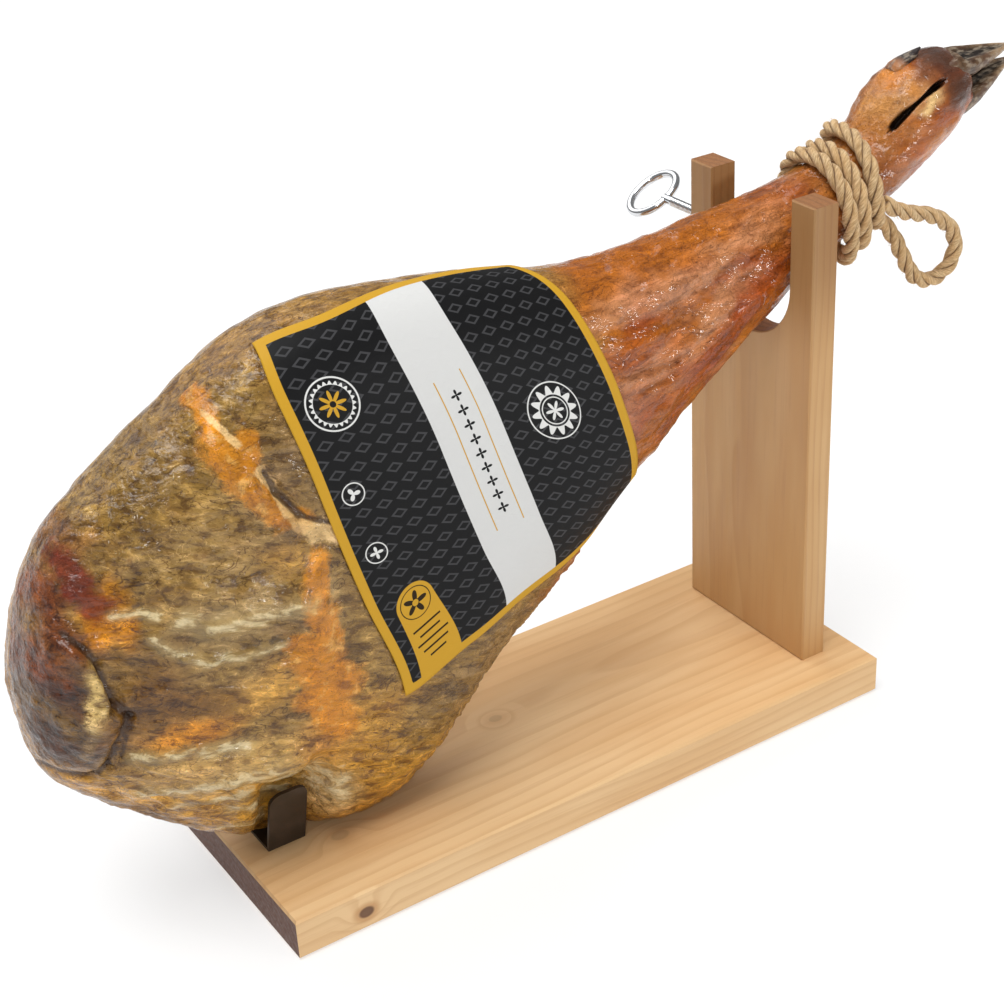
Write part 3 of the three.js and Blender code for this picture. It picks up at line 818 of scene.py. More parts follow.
def cured_material():
    """Greasy cured skin: its tint and crisp strokes of colour, wrinkled, grooved and specked, with painted
    highlights on its ridges, pale lines and gloss strokes, and painted shade in its creases.
    """
    shader = Shader("cured_skin")
    m = shader.math
    tint = shader.attribute("tint", "Color")
    rim, leg, foot = (shader.attribute(name) for name in ("rim", "leg", "foot"))
    plain = shader.place()
    body_space = shader.lined(-20, 3.0)
    leg_space = shader.lined(8, 4.0)
    body_lines = shader.noise(body_space, 210, detail=5, roughness=0.62, distortion=0.5)
    leg_lines = shader.noise(leg_space, 240, detail=4, roughness=0.58, distortion=0.3)
    lines = m("ADD", body_lines, m("MULTIPLY", leg, m("SUBTRACT", leg_lines, body_lines)))
    mottle = shader.noise(plain, 120, detail=5, roughness=0.7)
    specks = shader.noise(plain, 800, detail=2, roughness=0.6)
    clouds = shader.noise(plain, 42, detail=4, roughness=0.65)
    ragged = m("MULTIPLY", m("SUBTRACT", mottle, 0.5), 2.6)
    calm = m("SUBTRACT", 1.0, m("ADD", m("MULTIPLY", foot, 0.2), m("MULTIPLY", leg, 0.5)))

    colour = tint
    glow = shader.mix(shader.range(clouds, 0.40, 0.58), tuple(AMBER), tuple(ORANGE))
    glow = shader.mix(shader.range(mottle, 0.52, 0.66, 0, 0.6), glow, tuple(STRAW))
    for name, tone, low, high in (("amber", glow, -0.25, 0.45), ("cream", tuple(CREAM), 0.0, 0.5),
                                  ("red", tuple(RED_BROWN), -0.3, 0.7)):
        mask = shader.range(m("ADD", shader.attribute(name), m("MULTIPLY", ragged, 0.8)), low, high)
        colour = shader.mix(m("MULTIPLY", mask, 0.8), colour, tone)
        calm = m("MULTIPLY", calm, m("SUBTRACT", 1.0, m("MULTIPLY", mask, 0.65)))
    groove = m("MULTIPLY", shader.range(lines, 0.49, 0.36, 0, 0.9), calm)
    # Ridges are partly pale in tone and partly painted highlight, whitened where light would glint on them
    ridge_and_highlight = m("MULTIPLY", shader.range(lines, 0.52, 0.63, 0, 0.8), calm)
    wrinkle_space = shader.mapped(body_space, (1.6, 1, 1))
    # Painted glints: thin pale lines over the lighter clouds, whitened where light glints on wet skin
    glint_net = m("ABSOLUTE", m("SUBTRACT", shader.noise(wrinkle_space, 110, detail=3, distortion=0.8), 0.5))
    dark_net = m("ABSOLUTE", m("SUBTRACT", shader.noise(wrinkle_space, 90, detail=3, distortion=1.2), 0.53))
    here_glint, here_dark = shader.range(clouds, 0.42, 0.56), shader.range(clouds, 0.58, 0.46)
    glint_line = m("MULTIPLY", shader.range(glint_net, 0.012, 0.003, 0, 0.45), here_glint)
    dark_line = m("MULTIPLY", shader.range(dark_net, 0.016, 0.004, 0, 0.8), here_dark)
    blotch_space = shader.mapped(body_space, (1.8, 1, 1))
    blotches = shader.noise(blotch_space, 58, detail=6, roughness=0.66, distortion=0.4)
    blotchy = shader.range(leg, 0, 1, 0.85, 0.25)
    dark_blotch = m("MULTIPLY", shader.range(blotches, 0.47, 0.36), blotchy)
    pale_blotch = m("MULTIPLY", shader.range(blotches, 0.53, 0.64), blotchy)
    colour = shader.tinted(
        colour,
        (groove, (0.40, 0.32, 0.22)),
        (ridge_and_highlight, (1.65, 1.72, 2.1)),
        (m("MULTIPLY", dark_line, calm), (0.34, 0.25, 0.16)),
        (m("MULTIPLY", glint_line, calm), (2.3, 2.5, 3.4)),
        (shader.range(mottle, 0.46, 0.30, 0, 0.8), (0.52, 0.42, 0.30)),
        (shader.range(mottle, 0.56, 0.70, 0, 0.6), (1.4, 1.4, 1.5)),
        (dark_blotch, (0.58, 0.52, 0.44)),
        (pale_blotch, (1.45, 1.48, 1.65)),
        (shader.range(specks, 0.40, 0.26, 0, 0.7), (0.30, 0.22, 0.16)),
        (shader.range(clouds, 0.40, 0.28, 0, 0.35), (0.72, 0.58, 0.42)),
    )
    # Painted shade: the creases darken almost to black
    crease_shade = m("ADD", shader.attribute("crease_shade"), m("MULTIPLY", ragged, 0.6))
    colour = shader.mix(shader.range(crease_shade, -0.1, 0.6, 0, 0.88), colour, (0.055, 0.022, 0.008))
    # Painted highlight: the gloss strokes are pale in a yellowish surround, and also less rough
    highlight_edge = m("ADD", shader.attribute("gloss_and_highlight"), m("MULTIPLY", m("SUBTRACT", lines, 0.5), 5.0))
    gloss_and_highlight = shader.range(highlight_edge, 0.3, 1.2)
    around_highlight = shader.range(shader.attribute("gloss_and_highlight"), -0.9, 0.8, 0, 0.4)
    colour = shader.mix(around_highlight, colour, (0.60, 0.44, 0.19))
    colour = shader.mix(m("MULTIPLY", gloss_and_highlight, 0.62), colour, (1.0, 0.84, 0.50))

    fold_space = shader.place(scale=(1.0, 1.0, 2.2), turn=(0, math.radians(24), 0))
    folds = shader.noise(fold_space, 130, detail=4, roughness=0.5, distortion=1.6)
    folded = m("ABSOLUTE", m("SUBTRACT", folds, 0.5))
    fold_height = shader.range(rim, 0, 1, 0.8, 2.4)
    height = shader.total((lines, 1.3), (mottle, 0.9), (folded, fold_height), (specks, 0.22), (clouds, 1.6),
                          (glint_line, 0.12), (dark_line, -0.2))
    rough = m("SUBTRACT", shader.range(mottle, 0.3, 0.7, 0.30, 0.46), m("MULTIPLY", gloss_and_highlight, 0.14))
    strength = shader.range(foot, 0, 1, 0.95, 0.5)
    normal = shader.bump(height, 0.0026, strength)
    wet_lines = shader.noise(body_space, 95, detail=3, roughness=0.5, distortion=0.6)
    wet_height = shader.total((lines, 0.5), (clouds, 1.5), (wet_lines, 2.4))
    coat = {"Coat_Weight": 0.7, "Coat_Roughness": 0.07, "Coat_Normal": shader.bump(wet_height, 0.0013)}
    return shader.finish(colour, rough, normal, Specular_IOR_Level=0.12, **coat)


def skin_grid():
    """Section numbers and angles of the skin's mesh, evenly along the ham and closer on its front."""
    ends = SECTIONS[:, [0, 1, 2, 3]]
    steps = np.abs(np.diff(ends, axis=0))
    lengths = np.maximum(np.hypot(steps[:, 0], steps[:, 1]), np.hypot(steps[:, 2], steps[:, 3]))
    places = np.append(0, np.cumsum(lengths))
    u = np.interp(np.linspace(0, places[-1], SKIN_MESH["along"] + 1), places, np.arange(len(SECTIONS)))
    turns = np.linspace(0, 360, 721)
    widest = skin_point(np.full(len(turns), 7.0), turns)
    spacing = np.linalg.norm(np.diff(widest, axis=0), axis=1)
    in_front = turns[:-1] < 180
    share = SKIN_MESH["front_share"]
    spacing[in_front] *= share / spacing[in_front].sum()
    spacing[~in_front] *= (1 - share) / spacing[~in_front].sum()
    around = np.append(0, np.cumsum(spacing))
    degrees = np.interp(np.arange(SKIN_MESH["around"]) / SKIN_MESH["around"], around, turns)
    return u[:, None] + 0 * degrees[None, :], 0 * u[:, None] + degrees[None, :]


def make_skin():
    last = len(SECTIONS) - 1
    u, degrees = skin_grid()
    points = skin_point(u, degrees)
    normals = skin_normal(np.clip(u, 0.01, last - 0.01), degrees)
    signed = (degrees + 180) % 360 - 180
    height, rim = skin_detail(points, u, signed)
    cleft = cleft_depth(points)
    tint = skin_tint(points, u, signed)
    # Painted shade: the skin darkens in the slit between the toes as far as it goes in
    tint = tint * (1 - 0.95 * smoothstep(cleft, 0.3, 2.5))[..., None]
    masks = {"rim": rim, **skin_masks(points, u, signed)}
    skin = closed_object("ham_skin", points + normals * (height - cleft)[..., None])
    tints = np.vstack([tint.reshape(-1, 3), tint[0].mean(0), tint[-1].mean(0)])
    give_attribute(skin, "tint", tints, "FLOAT_COLOR")
    for name, values in masks.items():
        give_attribute(skin, name, np.append(values.ravel(), values[[0, -1], 0]))
    wear(skin, cured_material())
    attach(skin, "stand")
    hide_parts("ham")


# The trotter's claws

def claw_points(base, tip, wide, deep):
    """Rings of a tapered claw and the fraction along it, before its detail."""
    base, tip = np.array(base, float), np.array(tip, float)
    length = np.linalg.norm(tip - base)
    along = (tip - base) / length
    across = np.cross((0, 1, 0), along)
    across /= np.linalg.norm(across)
    side = np.cross(along, across)
    heights = [height for _, height in CLAW_PROFILE[1:-1]]
    radii = [radius for radius, _ in CLAW_PROFILE[1:-1]]
    h = np.linspace(0.02, 1, CLAW_MESH["along"] + 1)[:, None]
    turn = np.arange(CLAW_MESH["around"])[None, :] * 2 * np.pi / CLAW_MESH["around"]
    radius = np.interp(h, heights, radii)
    ring = across * (deep * np.cos(turn))[..., None] + side * (wide * np.sin(turn))[..., None]
    points = base + along * (h * length)[..., None] + ring * radius[..., None]
    return points, ring, h + 0 * turn, turn + 0 * h


def horn_material():
    shader = Shader("horn")
    tint = shader.attribute("tint", "Color")
    grain = shader.noise(shader.place(scale=(0.35, 1, 1), turn=(0, math.radians(-8), 0)), 420, detail=4)
    mottle = shader.noise(shader.place(), 160, detail=4)
    streaked = shader.mix(shader.range(grain, 0.45, 0.65, 0, 0.55), tint, (0.42, 0.34, 0.25))
    dark = shader.mix(shader.range(mottle, 0.5, 0.36, 0, 0.7), streaked, (0.35, 0.30, 0.28), "MULTIPLY")
    height = shader.math("ADD", grain, mottle)
    return shader.finish(dark, shader.range(mottle, 0.3, 0.7, 0.3, 0.5), shader.bump(height, 0.0006, 0.8))


def make_claws():
    horn = horn_material()
    for order, (name, (base, tip, wide, deep)) in enumerate(CLAWS.items()):
        points, ring, h, turn = claw_points(base, tip, wide, deep)
        on_horn = np.stack([30 * h, 4 * np.cos(turn), 4 * np.sin(turn)], -1)
        rough = 0.08 * perlin(on_horn, (16, 2.2, 2.2), 31.0 + order)
        main = name.endswith("_claw")
        hollow = np.zeros_like(h)
        if main:
            # The horn's upper side has dried hollow.
            facing = np.cos(turn - HOLLOW_TURN[name])
            hollow = smoothstep(facing, 0.72, 0.9) * smoothstep(h, 0.2, 0.3) * smoothstep(0.97 - h, 0, 0.1)
        points = points + ring * (rough - 0.42 * hollow)[..., None] * np.minimum(1, 1.3 - h)[..., None]
        tint = blend(HORN_GREY, HORN_PALE, smoothstep(h, 0.35, 0.95))
        tint = blend(tint, HORN_PURPLE, 0.6 * smoothstep(perlin(points, 9, 41.0 + order), 0.05, 0.4))
        if not main:
            tint = blend(TROTTER, HORN_DARK, smoothstep(h, 0.2, 0.5))
        # Painted shade: the hollow darkens almost to black
        tint = tint * (1 - 0.92 * hollow)[..., None]
        claw = closed_object(name, points)
        tints = np.vstack([tint.reshape(-1, 3), tint[0, :2]])
        give_attribute(claw, "tint", np.clip(tints, 0.002, 1), "FLOAT_COLOR")
        wear(claw, horn)
        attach(claw, "stand")


# The printed sheet. Its print has distances in millimetres from the sheet's left edge and down from its top.

class Print:
    """Shapes of ink on the sheet, each a mask from 0 to 1."""

    def __init__(self, shader, x, y):
        self.shader, self.x, self.y = shader, x, y

    def ink(self, outside):
        """Where a distance to a shape's outline is negative."""
        return self.shader.range(outside, 0.14, -0.14)

    def local(self, x, y):
        m = self.shader.math
        return m("SUBTRACT", self.x, x), m("SUBTRACT", self.y, y)

    def radius(self, x, y):
        m = self.shader.math
        dx, dy = self.local(x, y)
        return m("SQRT", m("ADD", m("MULTIPLY", dx, dx), m("MULTIPLY", dy, dy)))

    def ring(self, x, y, radius, width):
        m = self.shader.math
        return self.ink(m("SUBTRACT", m("ABSOLUTE", m("SUBTRACT", self.radius(x, y), radius)), width / 2))

    def disc(self, x, y, radius):
        return self.ink(self.shader.math("SUBTRACT", self.radius(x, y), radius))

    def rosette(self, x, y, radius, petals, depth, inner=0.0):
        m = self.shader.math
        dx, dy = self.local(x, y)
        wave = m("COSINE", m("MULTIPLY", m("ARCTAN2", dy, dx), petals))
        edge = m("MULTIPLY", m("ADD", m("MULTIPLY", wave, depth), 1 - depth), radius)
        flower = m("SUBTRACT", self.radius(x, y), edge)
        return self.ink(m("MAXIMUM", flower, m("SUBTRACT", inner, self.radius(x, y))))

    def bar(self, x, y, wide, tall):
        m = self.shader.math
        dx, dy = self.local(x, y)
        across = m("SUBTRACT", m("ABSOLUTE", dx), wide / 2)
        down = m("SUBTRACT", m("ABSOLUTE", dy), tall / 2)
        return self.ink(m("MAXIMUM", across, down))

    def lozenges(self, cell_x, cell_y, half_x, half_y, line):
        """A field of lozenge outlines, each row half a cell along from the last."""
        m = self.shader.math
        row = m("DIVIDE", self.y, cell_y)
        shift = m("MULTIPLY", m("MODULO", m("FLOOR", row), 2.0), 0.5)
        column = m("ADD", m("DIVIDE", self.x, cell_x), shift)
        dx = m("ABSOLUTE", m("SUBTRACT", m("FRACT", column), 0.5))
        dy = m("ABSOLUTE", m("SUBTRACT", m("FRACT", row), 0.5))
        out = m("ADD", m("MULTIPLY", dx, cell_x / half_x), m("MULTIPLY", dy, cell_y / half_y))
        return self.shader.range(m("ABSOLUTE", m("SUBTRACT", out, 1.0)), line, line * 0.6)


def print_material():
    shader = Shader("print")
    m = shader.math
    x, down, up = shader.split(shader.attribute("print_at", "Vector"))
    border = shader.attribute("edge_mm")
    band = shader.attribute("band_mm")
    band_x = shader.attribute("band_x")
    field = Print(shader, x, down)
    lower = Print(shader, x, up)
    stripe = Print(shader, band_x, down)
    pattern = field.lozenges(**MOTIFS["lozenge"])
    colour = shader.mix(pattern, INK_BLACK, INK_LINE)
    # Upper left: a round seal, and two small round marks under it
    seal = MOTIFS["seal"]
    for mask in (field.ring(*seal, 14, 0.9), field.rosette(*seal, 12.2, 24, 0.07, 10.2)):
        colour = shader.mix(mask, colour, INK_WHITE)
    colour = shader.mix(field.rosette(*seal, 7.5, 8, 0.35), colour, INK_GOLD)
    colour = shader.mix(field.disc(*seal, 1.7), colour, INK_BLACK)
    for mark_x, mark_y, petals in MOTIFS["marks"]:
        colour = shader.mix(field.ring(mark_x, mark_y, 6.2, 0.7), colour, INK_WHITE)
        colour = shader.mix(field.rosette(mark_x, mark_y, 4.0, petals, 0.4), colour, INK_WHITE)
    # Right: a large open rosette
    at = MOTIFS["rosette"]
    for mask in (field.ring(*at, 17, 0.8), field.rosette(*at, 15, 12, 0.16, 9.6),
                 field.ring(*at, 8, 0.7), field.rosette(*at, 6, 6, 0.4)):
        colour = shader.mix(mask, colour, INK_WHITE)
    # Lower left: a gold panel with a round top
    panel_x, panel_top, half_wide, half_foot = MOTIFS["panel"].values()
    half = shader.range(up, 0, panel_top, half_foot, half_wide, smooth=False)
    sides = m("SUBTRACT", m("ABSOLUTE", m("SUBTRACT", x, panel_x)), half)
    body = m("MAXIMUM", sides, m("SUBTRACT", up, panel_top))
    arch = m("MINIMUM", body, m("SUBTRACT", lower.radius(panel_x, panel_top), half_wide))
    colour = shader.mix(lower.ink(arch), colour, INK_GOLD)
    for mask in (lower.ring(panel_x, panel_top, 9.6, 0.6),
                 lower.rosette(panel_x, panel_top, 7.6, 5, 0.35, 2.0)):
        colour = shader.mix(mask, colour, INK_BROWN)
    for line_y, wide in MOTIFS["panel_lines"]:
        colour = shader.mix(lower.bar(panel_x, line_y, wide, 1.3), colour, INK_BROWN)
    # The white band with its two rules and a chain of small crosses
    white = INK_PAPER
    for offset in MOTIFS["rules"]:
        white = shader.mix(stripe.bar(offset, 108, 0.7, 96), white, INK_GOLD)
    chain = MOTIFS["chain"]
    for number in range(chain["count"]):
        cross = stripe.rosette(1, chain["start"] + chain["step"] * number, 3.4, 4, 0.42)
        white = shader.mix(cross, white, INK_BLACK)
    colour = shader.mix(field.ink(m("MULTIPLY", band, -1)), colour, white)
    colour = shader.mix(field.ink(m("SUBTRACT", border, MOTIFS["border"])), colour, INK_GOLD)
    paper = shader.noise(shader.place(), 900, detail=2)
    creases = shader.noise(shader.place(scale=(1, 1, 1.6)), 38, detail=3, distortion=0.8)
    height = shader.total((creases, 1.0), (paper, 0.06), (pattern, 0.06))
    return shader.finish(colour, 0.5, shader.bump(height, 0.0012, 0.4), Specular_IOR_Level=0.12)


def make_sheet():
    steps = SHEET["steps"]
    s, t = np.meshgrid(np.linspace(0, 1, steps + 1), np.linspace(0, 1, steps + 1), indexing="ij")
    u = list_at(SHEET["left"], t) * (1 - s) + list_at(SHEET["right"], t) * s
    degrees = list_at(SHEET["top"], s) * (1 - t) + list_at(SHEET["bottom"], s) * t
    points = skin_point(u, degrees) + skin_normal(u, degrees) * (SHEET["gap"] + SHEET["thickness"])
    x = np.zeros_like(s)
    down = np.zeros_like(s)
    x[1:] = np.cumsum(np.linalg.norm(np.diff(points, axis=0), axis=-1), axis=0)
    down[:, 1:] = np.cumsum(np.linalg.norm(np.diff(points, axis=1), axis=-1), axis=1)
    widths, heights = x[-1:], down[:, -1:]
    edge = np.minimum(np.minimum(x, widths - x), np.minimum(down, heights - down))
    band_left, band_right = list_at(BAND["left"], t), list_at(BAND["right"], t)
    faces = grid_faces(steps + 1, steps + 1, False)
    sheet = mesh_object("print_sheet", points.reshape(-1, 3) * MM, faces)
    at = np.stack([x, down, heights - down], -1).reshape(-1, 3)
    give_attribute(sheet, "print_at", at, "FLOAT_VECTOR")
    give_attribute(sheet, "edge_mm", edge.ravel())
    give_attribute(sheet, "band_mm", np.minimum(x - band_left, band_right - x).ravel())
    give_attribute(sheet, "band_x", (x - (band_left + band_right) / 2).ravel())
    thick = sheet.modifiers.new("thickness", "SOLIDIFY")
    thick.thickness = SHEET["thickness"] * MM
    thick.offset = -1
    wear(sheet, print_material())
    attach(sheet, "stand")
    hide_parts("printed_sheet")


# Rope

def even_route(points, step):
    """The same route with its points a step apart."""
    points = np.asarray(points, float)
    along = np.append(0, np.cumsum(np.linalg.norm(np.diff(points, axis=0), axis=1)))
    places = np.linspace(0, along[-1], int(along[-1] / step) + 1)
    return np.stack([np.interp(places, along, points[:, k]) for k in range(3)], -1), places


def smooth_route(knots, per_span=24):
    """A centripetal Catmull-Rom curve through points."""
    knots = np.asarray(knots, float)
    padded = np.vstack([2 * knots[0] - knots[1], knots, 2 * knots[-1] - knots[-2]])
    route = []
    for p0, p1, p2, p3 in zip(padded, padded[1:], padded[2:], padded[3:]):
        gaps = [max(np.linalg.norm(b - a), 1e-6) ** 0.5 for a, b in ((p0, p1), (p1, p2), (p2, p3))]
        leave = ((p1 - p0) / gaps[0] - (p2 - p0) / (gaps[0] + gaps[1]) + (p2 - p1) / gaps[1]) * gaps[1]
        arrive = ((p2 - p1) / gaps[1] - (p3 - p1) / (gaps[1] + gaps[2]) + (p3 - p2) / gaps[2]) * gaps[1]
        for f in np.arange(per_span) / per_span:
            cube, square = 2 * (p1 - p2) + leave + arrive, 3 * (p2 - p1) - 2 * leave - arrive
            route.append(p1 + f * (leave + f * (square + f * cube)))
    return np.array([*route, knots[-1]])


def winding_route():
    f = np.linspace(0, 1, 1200)
    degrees = WINDING["start"] + 90 * (len(WINDING["sections"]) - 1) * f
    u = list_at(WINDING["sections"], f)
    points = skin_point(u, degrees) + skin_normal(u, degrees) * (ROPE["diameter"] / 2 + ROPE["clear"])
    beside = (degrees % 360 - SLACK["at"]) / SLACK["spread"]
    points[:, 2] -= SLACK["drop"] * np.exp(-beside * beside) * (1 - f**3)
    return points


def carried_frames(route):
    """Two directions across a route at each of its points, carried along it without twist."""
    tangents = np.gradient(route, axis=0)
    tangents /= np.linalg.norm(tangents, axis=1, keepdims=True)
    first = np.cross(tangents[0], (0, 0, 1))
    first /= np.linalg.norm(first)
    firsts = [first]
    for tangent in tangents[1:]:
        first = firsts[-1] - tangent * (firsts[-1] @ tangent)
        firsts.append(first / np.linalg.norm(first))
    firsts = np.array(firsts)
    return firsts, np.cross(tangents, firsts)


def rope_object(name, knots, seed):
    """Three-strand rope along a route: each strand is a tube that winds about it, with loose fibres."""
    route, along = even_route(knots, ROPE["step"])
    first, second = carried_frames(route)
    sides = ROPE["sides"]
    points, faces, fibre_at, depth = [], [], [], []
    draw = np.random.default_rng(seed)
    for strand in range(3):
        turn = 2 * np.pi * (strand / 3 + along / ROPE["pitch"])
        out = first * np.cos(turn)[:, None] + second * np.sin(turn)[:, None]
        core = route + out * ROPE["off_centre"]
        strand_first, strand_second = carried_frames(core)
        swell = ROPE["strand"] * (1 + 0.05 * perlin(core, 9, seed + strand))
        around = np.arange(sides) * 2 * np.pi / sides
        ring = (strand_first[:, None] * np.cos(around)[None, :, None]
                + strand_second[:, None] * np.sin(around)[None, :, None])
        start = len(points)
        surface = core[:, None] + ring * swell[:, None, None]
        # How deep in the groove between the strands each point lies; the material darkens it with painted
        # shade
        from_centre = np.linalg.norm(surface - route[:, None], axis=2)
        depth.extend(1 - smoothstep(from_centre, *ROPE["groove"]).ravel())
        points.extend(surface.reshape(-1, 3))
        faces += [tuple(start + k for k in face) for face in grid_faces(len(core), sides, True)]
        faces.append(tuple(start + k for k in range(sides))[::-1])
        faces.append(tuple(start + (len(core) - 1) * sides + k for k in range(sides)))
        twist = around[None, :] - along[:, None] * ROPE["yarn_twist"]
        long = along[:, None] / ROPE["yarn_length"] + 0 * around + 7 * strand
        fibre_at.extend(np.stack([np.cos(twist), np.sin(twist), long], -1).reshape(-1, 3))
    for place in draw.integers(2, len(route) - 2, int(along[-1] * FIBRES["per_mm"])):
        angle, lift = draw.uniform(0, 2 * np.pi), draw.uniform(0.2, 1.2)
        out = first[place] * np.cos(angle) + second[place] * np.sin(angle)
        drift = draw.normal(size=3)
        drift -= out * (drift @ out)
        drift *= draw.uniform(*FIBRES["length"]) / np.linalg.norm(drift)
        root = route[place] + out * (ROPE["diameter"] / 2 - 0.5)
        line = [root + drift * f + out * lift * np.sin(np.pi * f * 0.8) for f in (0, 0.4, 0.75, 1)]
        thick = np.cross(drift, out)
        thick *= FIBRES["radius"] / np.linalg.norm(thick)
        start = len(points)
        for spot, size in zip(line, (1, 0.9, 0.7, 0.3)):
            points.extend([spot + thick * size, spot - thick * size * 0.5 + out * 0.06, spot - thick * size])
        faces += [tuple(start + k for k in face) for face in grid_faces(len(line), 3, True)]
        faces += [(start + 2, start + 1, start), (start + 9, start + 10, start + 11)]
        fibre_at.extend([(1.0, 0.0, float(place))] * (3 * len(line)))
        depth.extend([0.0] * (3 * len(line)))
    rope = mesh_object(name, np.array(points) * MM, faces)
    give_attribute(rope, "fibre_at", np.array(fibre_at), "FLOAT_VECTOR")
    give_attribute(rope, "depth", np.array(depth))
    return rope, route


def rope_material():
    shader = Shader("rope")
    fibre_at = shader.attribute("fibre_at", "Vector")
    fibres = shader.noise(fibre_at, 3.4, detail=5, roughness=0.65)
    broad = shader.noise(shader.place(), 120, detail=3)
    base = shader.mix(shader.range(fibres, 0.34, 0.66), ROPE_DARK, ROPE_PALE)
    warm = shader.mix(shader.range(broad, 0.42, 0.62, 0, 0.45), base, ROPE_TAN)
    # Painted shade in the grooves between the strands
    groove_shade = shader.range(shader.attribute("depth"), 0.1, 0.9, 0, 0.85)
    shaded = shader.mix(groove_shade, warm, (0.30, 0.21, 0.12), "MULTIPLY")
    normal = shader.bump(shader.total((fibres, 1.0), (broad, 0.2)), 0.0011, 0.9)
    return shader.finish(shaded, 0.85, normal, Specular_IOR_Level=0.2, Sheen_Weight=0.15)


def make_ropes():
    fibre = rope_material()
    winding, _ = rope_object("rope_turns", winding_route(), 5)
    loop, route = rope_object("rope_bight", smooth_route(LOOP), 9)
    for rope, node in ((winding, "rope_winding"), (loop, "rope_loop")):
        wear(rope, fibre)
        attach(rope, "stand")
        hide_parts(node)


# Clamp screw

def make_screw():
    sides, step = 28, 0.2
    neck = BOW["y"] - BOW["along"]
    y = np.arange(SCREW["tip"], neck + 1.5, step)[:, None]
    turn = np.arange(sides)[None, :] * 2 * np.pi / sides
    phase = (y / THREAD["pitch"] - turn / (2 * np.pi)) % 1
    threaded = smoothstep(THREAD["end"] - y, 0, 1.5)
    radius = SCREW["shaft"] - THREAD["depth"] * np.abs(2 * phase - 1) * threaded
    radius = radius * smoothstep(y - SCREW["tip"], -2.2, 1.5)
    shaft = np.stack([radius * np.cos(turn), y + 0 * turn, radius * np.sin(turn)], -1)
    around, bow_steps = 20, 96
    b = np.arange(bow_steps)[:, None] * 2 * np.pi / bow_steps
    w = np.arange(around)[None, :] * 2 * np.pi / around
    thick = 1 + SCREW["wire"] / BOW["across"] * np.cos(w)
    bow = np.stack([BOW["across"] * thick * np.cos(b), BOW["y"] + BOW["along"] * (thick + 0 * b) * np.sin(b),
                    SCREW["wire"] * np.sin(w) + 0 * b], -1)
    # The oval keeps an even wire thickness along Y as well.
    bow[..., 1] += (SCREW["wire"] * (1 - BOW["along"] / BOW["across"])) * np.cos(w) * np.sin(b)
    angle = math.radians(-BOW["turned"])
    c, s = math.cos(angle), math.sin(angle)
    bow = np.stack([bow[..., 0] * c + bow[..., 2] * s, bow[..., 1], bow[..., 2] * c - bow[..., 0] * s], -1)
    shaft_faces = [face[::-1] for face in grid_faces(len(y), sides, True)]
    shaft_faces += [tuple(range(sides)), tuple((len(y) - 1) * sides + k for k in range(sides))[::-1]]
    start = shaft.shape[0] * sides
    whole = bow_steps * around
    bow_faces = [tuple(start + k % whole for k in face) for face in grid_faces(bow_steps + 1, around, True)]
    points = np.vstack([shaft.reshape(-1, 3), bow.reshape(-1, 3)]) + (SCREW["x"], 0, SCREW["z"])
    faces = shaft_faces + bow_faces
    screw = mesh_object("screw", points * MM, faces)
    wear(screw, chrome_material())
    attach(screw, "clamp_screw")
    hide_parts("clamp_screw")


def chrome_material():
    shader = Shader("chrome")
    haze = shader.noise(shader.place(), 180, detail=3)
    rough = shader.range(haze, 0.35, 0.7, 0.08, 0.22)
    colour = shader.mix(shader.range(haze, 0.4, 0.7), (0.74, 0.75, 0.77), (0.60, 0.61, 0.63))
    return shader.finish(colour, rough, shader.bump(haze, 0.0003, 0.2), Metallic=1.0)


# Wooden stand and its bracket

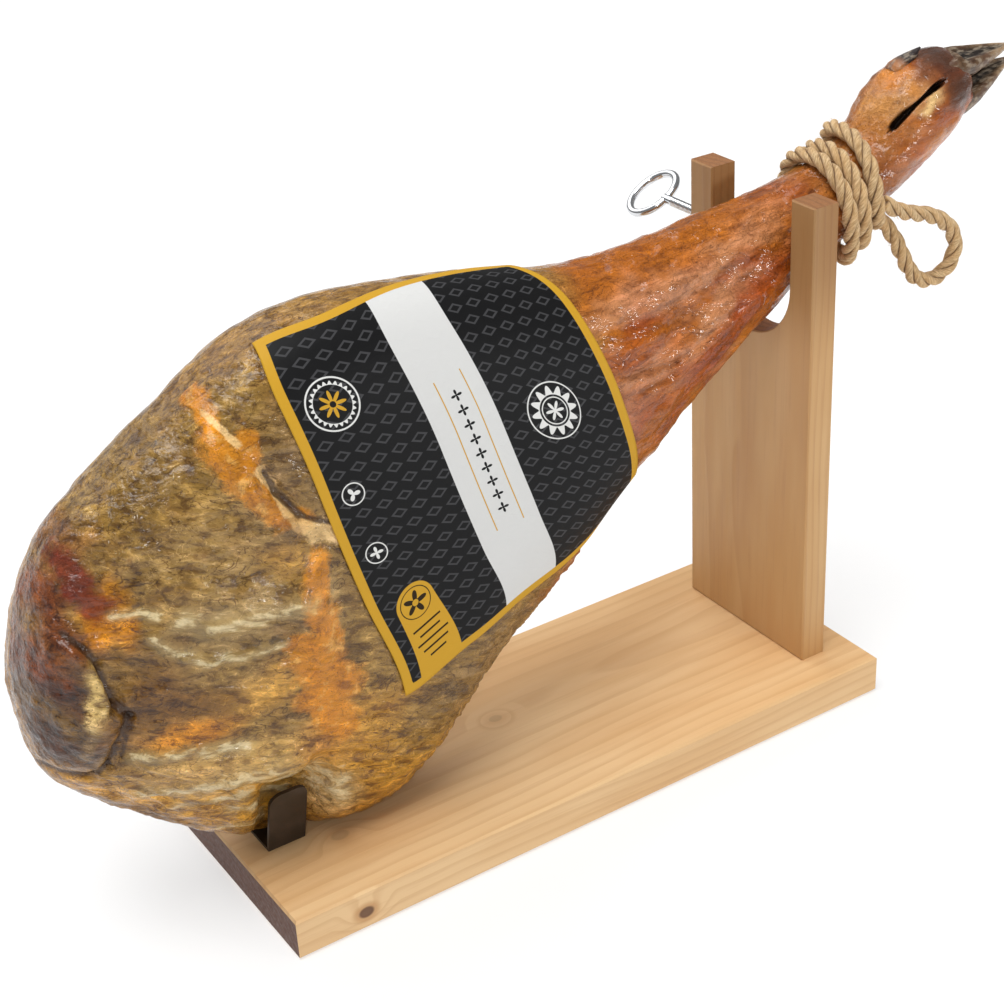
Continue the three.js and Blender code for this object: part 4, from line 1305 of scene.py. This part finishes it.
def wood_material(name, turn, centre, knots, tone_and_shade, end, top_shade=0.0):
    """Pine with its grain along X after a turn. The rings run about a line through centre, in metres. Its
    tones are multiplied by a colour that is partly the plank's own tone and partly painted shade, and its
    top may be darkened with painted shade.
    """
    shader = Shader(name)
    m = shader.math
    spot = shader.place(turn=turn)
    x, y, z = shader.split(spot)
    bend = m("SUBTRACT", shader.noise(shader.mapped(spot, (2.2, 9, 9)), 1.0, detail=3, roughness=0.5), 0.5)
    dy, dz = m("SUBTRACT", y, centre[0]), m("SUBTRACT", z, centre[1])
    far = m("SQRT", m("ADD", m("MULTIPLY", dy, dy), m("MULTIPLY", dz, dz)))
    far = m("ADD", far, m("MULTIPLY", bend, WOOD_RINGS["waver"]))
    knot_dark = 0.0
    knot_ring = 0.0
    for kx, ky, kz, size, strength in knots:
        ax, ay, az = (m("SUBTRACT", a, b) for a, b in ((x, kx), (y, ky), (z, kz)))
        stretched = m("MULTIPLY", ax, 0.75)
        square = m("ADD", m("MULTIPLY", stretched, stretched), m("MULTIPLY", ay, ay))
        square = m("ADD", square, m("MULTIPLY", az, az))
        away = m("DIVIDE", m("SQRT", square), size)
        far = m("ADD", far, m("MULTIPLY", shader.range(away, 4.0, 0.4), WOOD_RINGS["push"]))
        knot_dark = m("MAXIMUM", knot_dark, shader.range(away, 1.0, 0.65, 0, strength))
        halo = m("MULTIPLY", shader.range(away, 1.9, 1.0, 0, strength), shader.range(away, 0.2, 0.9, 0.4, 1))
        knot_ring = m("MAXIMUM", knot_ring, halo)
    rings = m("FRACT", m("DIVIDE", far, WOOD_RINGS["spacing"]))
    late = m("MULTIPLY", shader.range(rings, 0.45, 0.92), shader.range(rings, 1.0, 0.93))
    fibres = shader.noise(shader.mapped(spot, (16, 420, 420)), 1.0, detail=4, roughness=0.6)
    clouds = shader.noise(shader.mapped(spot, (5, 26, 26)), 1.0, detail=3)
    pale, warm, dark, knot_colour = (tuple(srgb(*tone) * tone_and_shade) for tone in WOOD_TONES)
    colour = shader.mix(shader.range(clouds, 0.35, 0.68, 0, 0.8), pale, warm)
    colour = shader.mix(m("MULTIPLY", late, 0.26), colour, dark)
    colour = shader.mix(shader.range(fibres, 0.50, 0.28, 0, 0.2), colour, dark)
    colour = shader.mix(m("MULTIPLY", knot_ring, 0.7), colour, dark)
    colour = shader.mix(m("MULTIPLY", knot_dark, 0.85), colour, knot_colour)
    normal = shader.node("ShaderNodeNewGeometry").outputs["Normal"]
    facing = shader.mapped(normal, turn=turn)
    end_grain = shader.range(m("ABSOLUTE", shader.split(facing)[0]), 0.6, 0.9)
    end_colour = tuple(srgb(*end))
    end_tone = shader.mix(m("MULTIPLY", late, 0.5), end_colour, tuple(0.6 * part for part in end_colour))
    pores = shader.noise(shader.place(), 900, detail=2)
    pore_tone = tuple(0.5 * part for part in end_colour)
    end_tone = shader.mix(shader.range(pores, 0.55, 0.35, 0, 0.4), end_tone, pore_tone)
    colour = shader.mix(end_grain, colour, end_tone)
    # Painted shade: the pine darkens towards its top
    if top_shade:
        above = shader.range(shader.split(shader.place())[2], 0.22, 0.30, 0, top_shade)
        colour = shader.mix(above, colour, (0.62, 0.54, 0.46), "MULTIPLY")
    height = shader.total((fibres, 0.5), (late, 0.35))
    rough = shader.range(fibres, 0.3, 0.7, 0.42, 0.58)
    return shader.finish(colour, rough, shader.bump(height, 0.0004, 0.5), Specular_IOR_Level=0.35)


def bracket_material():
    shader = Shader("black_steel")
    haze = shader.noise(shader.place(), 60, detail=3)
    grain = shader.noise(shader.place(), 1400, detail=2)
    colour = shader.mix(shader.range(haze, 0.4, 0.65), (0.018, 0.012, 0.009), (0.040, 0.026, 0.019))
    return shader.finish(colour, shader.range(haze, 0.35, 0.65, 0.32, 0.46), shader.bump(grain, 0.0002, 0.4),
                         Specular_IOR_Level=0.5)


def dress_stand():
    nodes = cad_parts
    along_x = (0, 0, 0)
    along_z = (0, math.radians(90), 0)
    knots = [
        (-0.163, -0.080, 0.011, 0.0042, 1.0),
        (-0.150, -0.030, 0.026, 0.0050, 0.3),
        (-0.020, 0.010, 0.026, 0.0040, 0.25),
    ]
    # Multipliers of the pine's tones: partly each plank's own tone, partly painted shade, most of it on the
    # upright's sides
    board_looks = {"tone_and_shade": (0.96, 0.95, 0.95), "end": (92, 50, 28)}
    upright_looks = {"tone_and_shade": (0.76, 0.70, 0.62), "end": (196, 144, 100), "top_shade": 1.0}
    wear(nodes["base_board"], wood_material("board_pine", along_x, (0.012, -0.075), knots, **board_looks))
    wear(nodes["upright"], wood_material("upright_pine", along_z, (-0.03, 0.29), [], **upright_looks))
    wear(nodes["rim_bracket"], bracket_material())
    for name, angle in (("base_board", 20), ("upright", 20), ("rim_bracket", 30)):
        nodes[name].data.shade_smooth()
        nodes[name].data.set_sharp_from_angle(angle=math.radians(angle))


make_camera()
make_stage()
make_skin()
make_claws()
make_sheet()
make_ropes()
make_screw()
dress_stand()
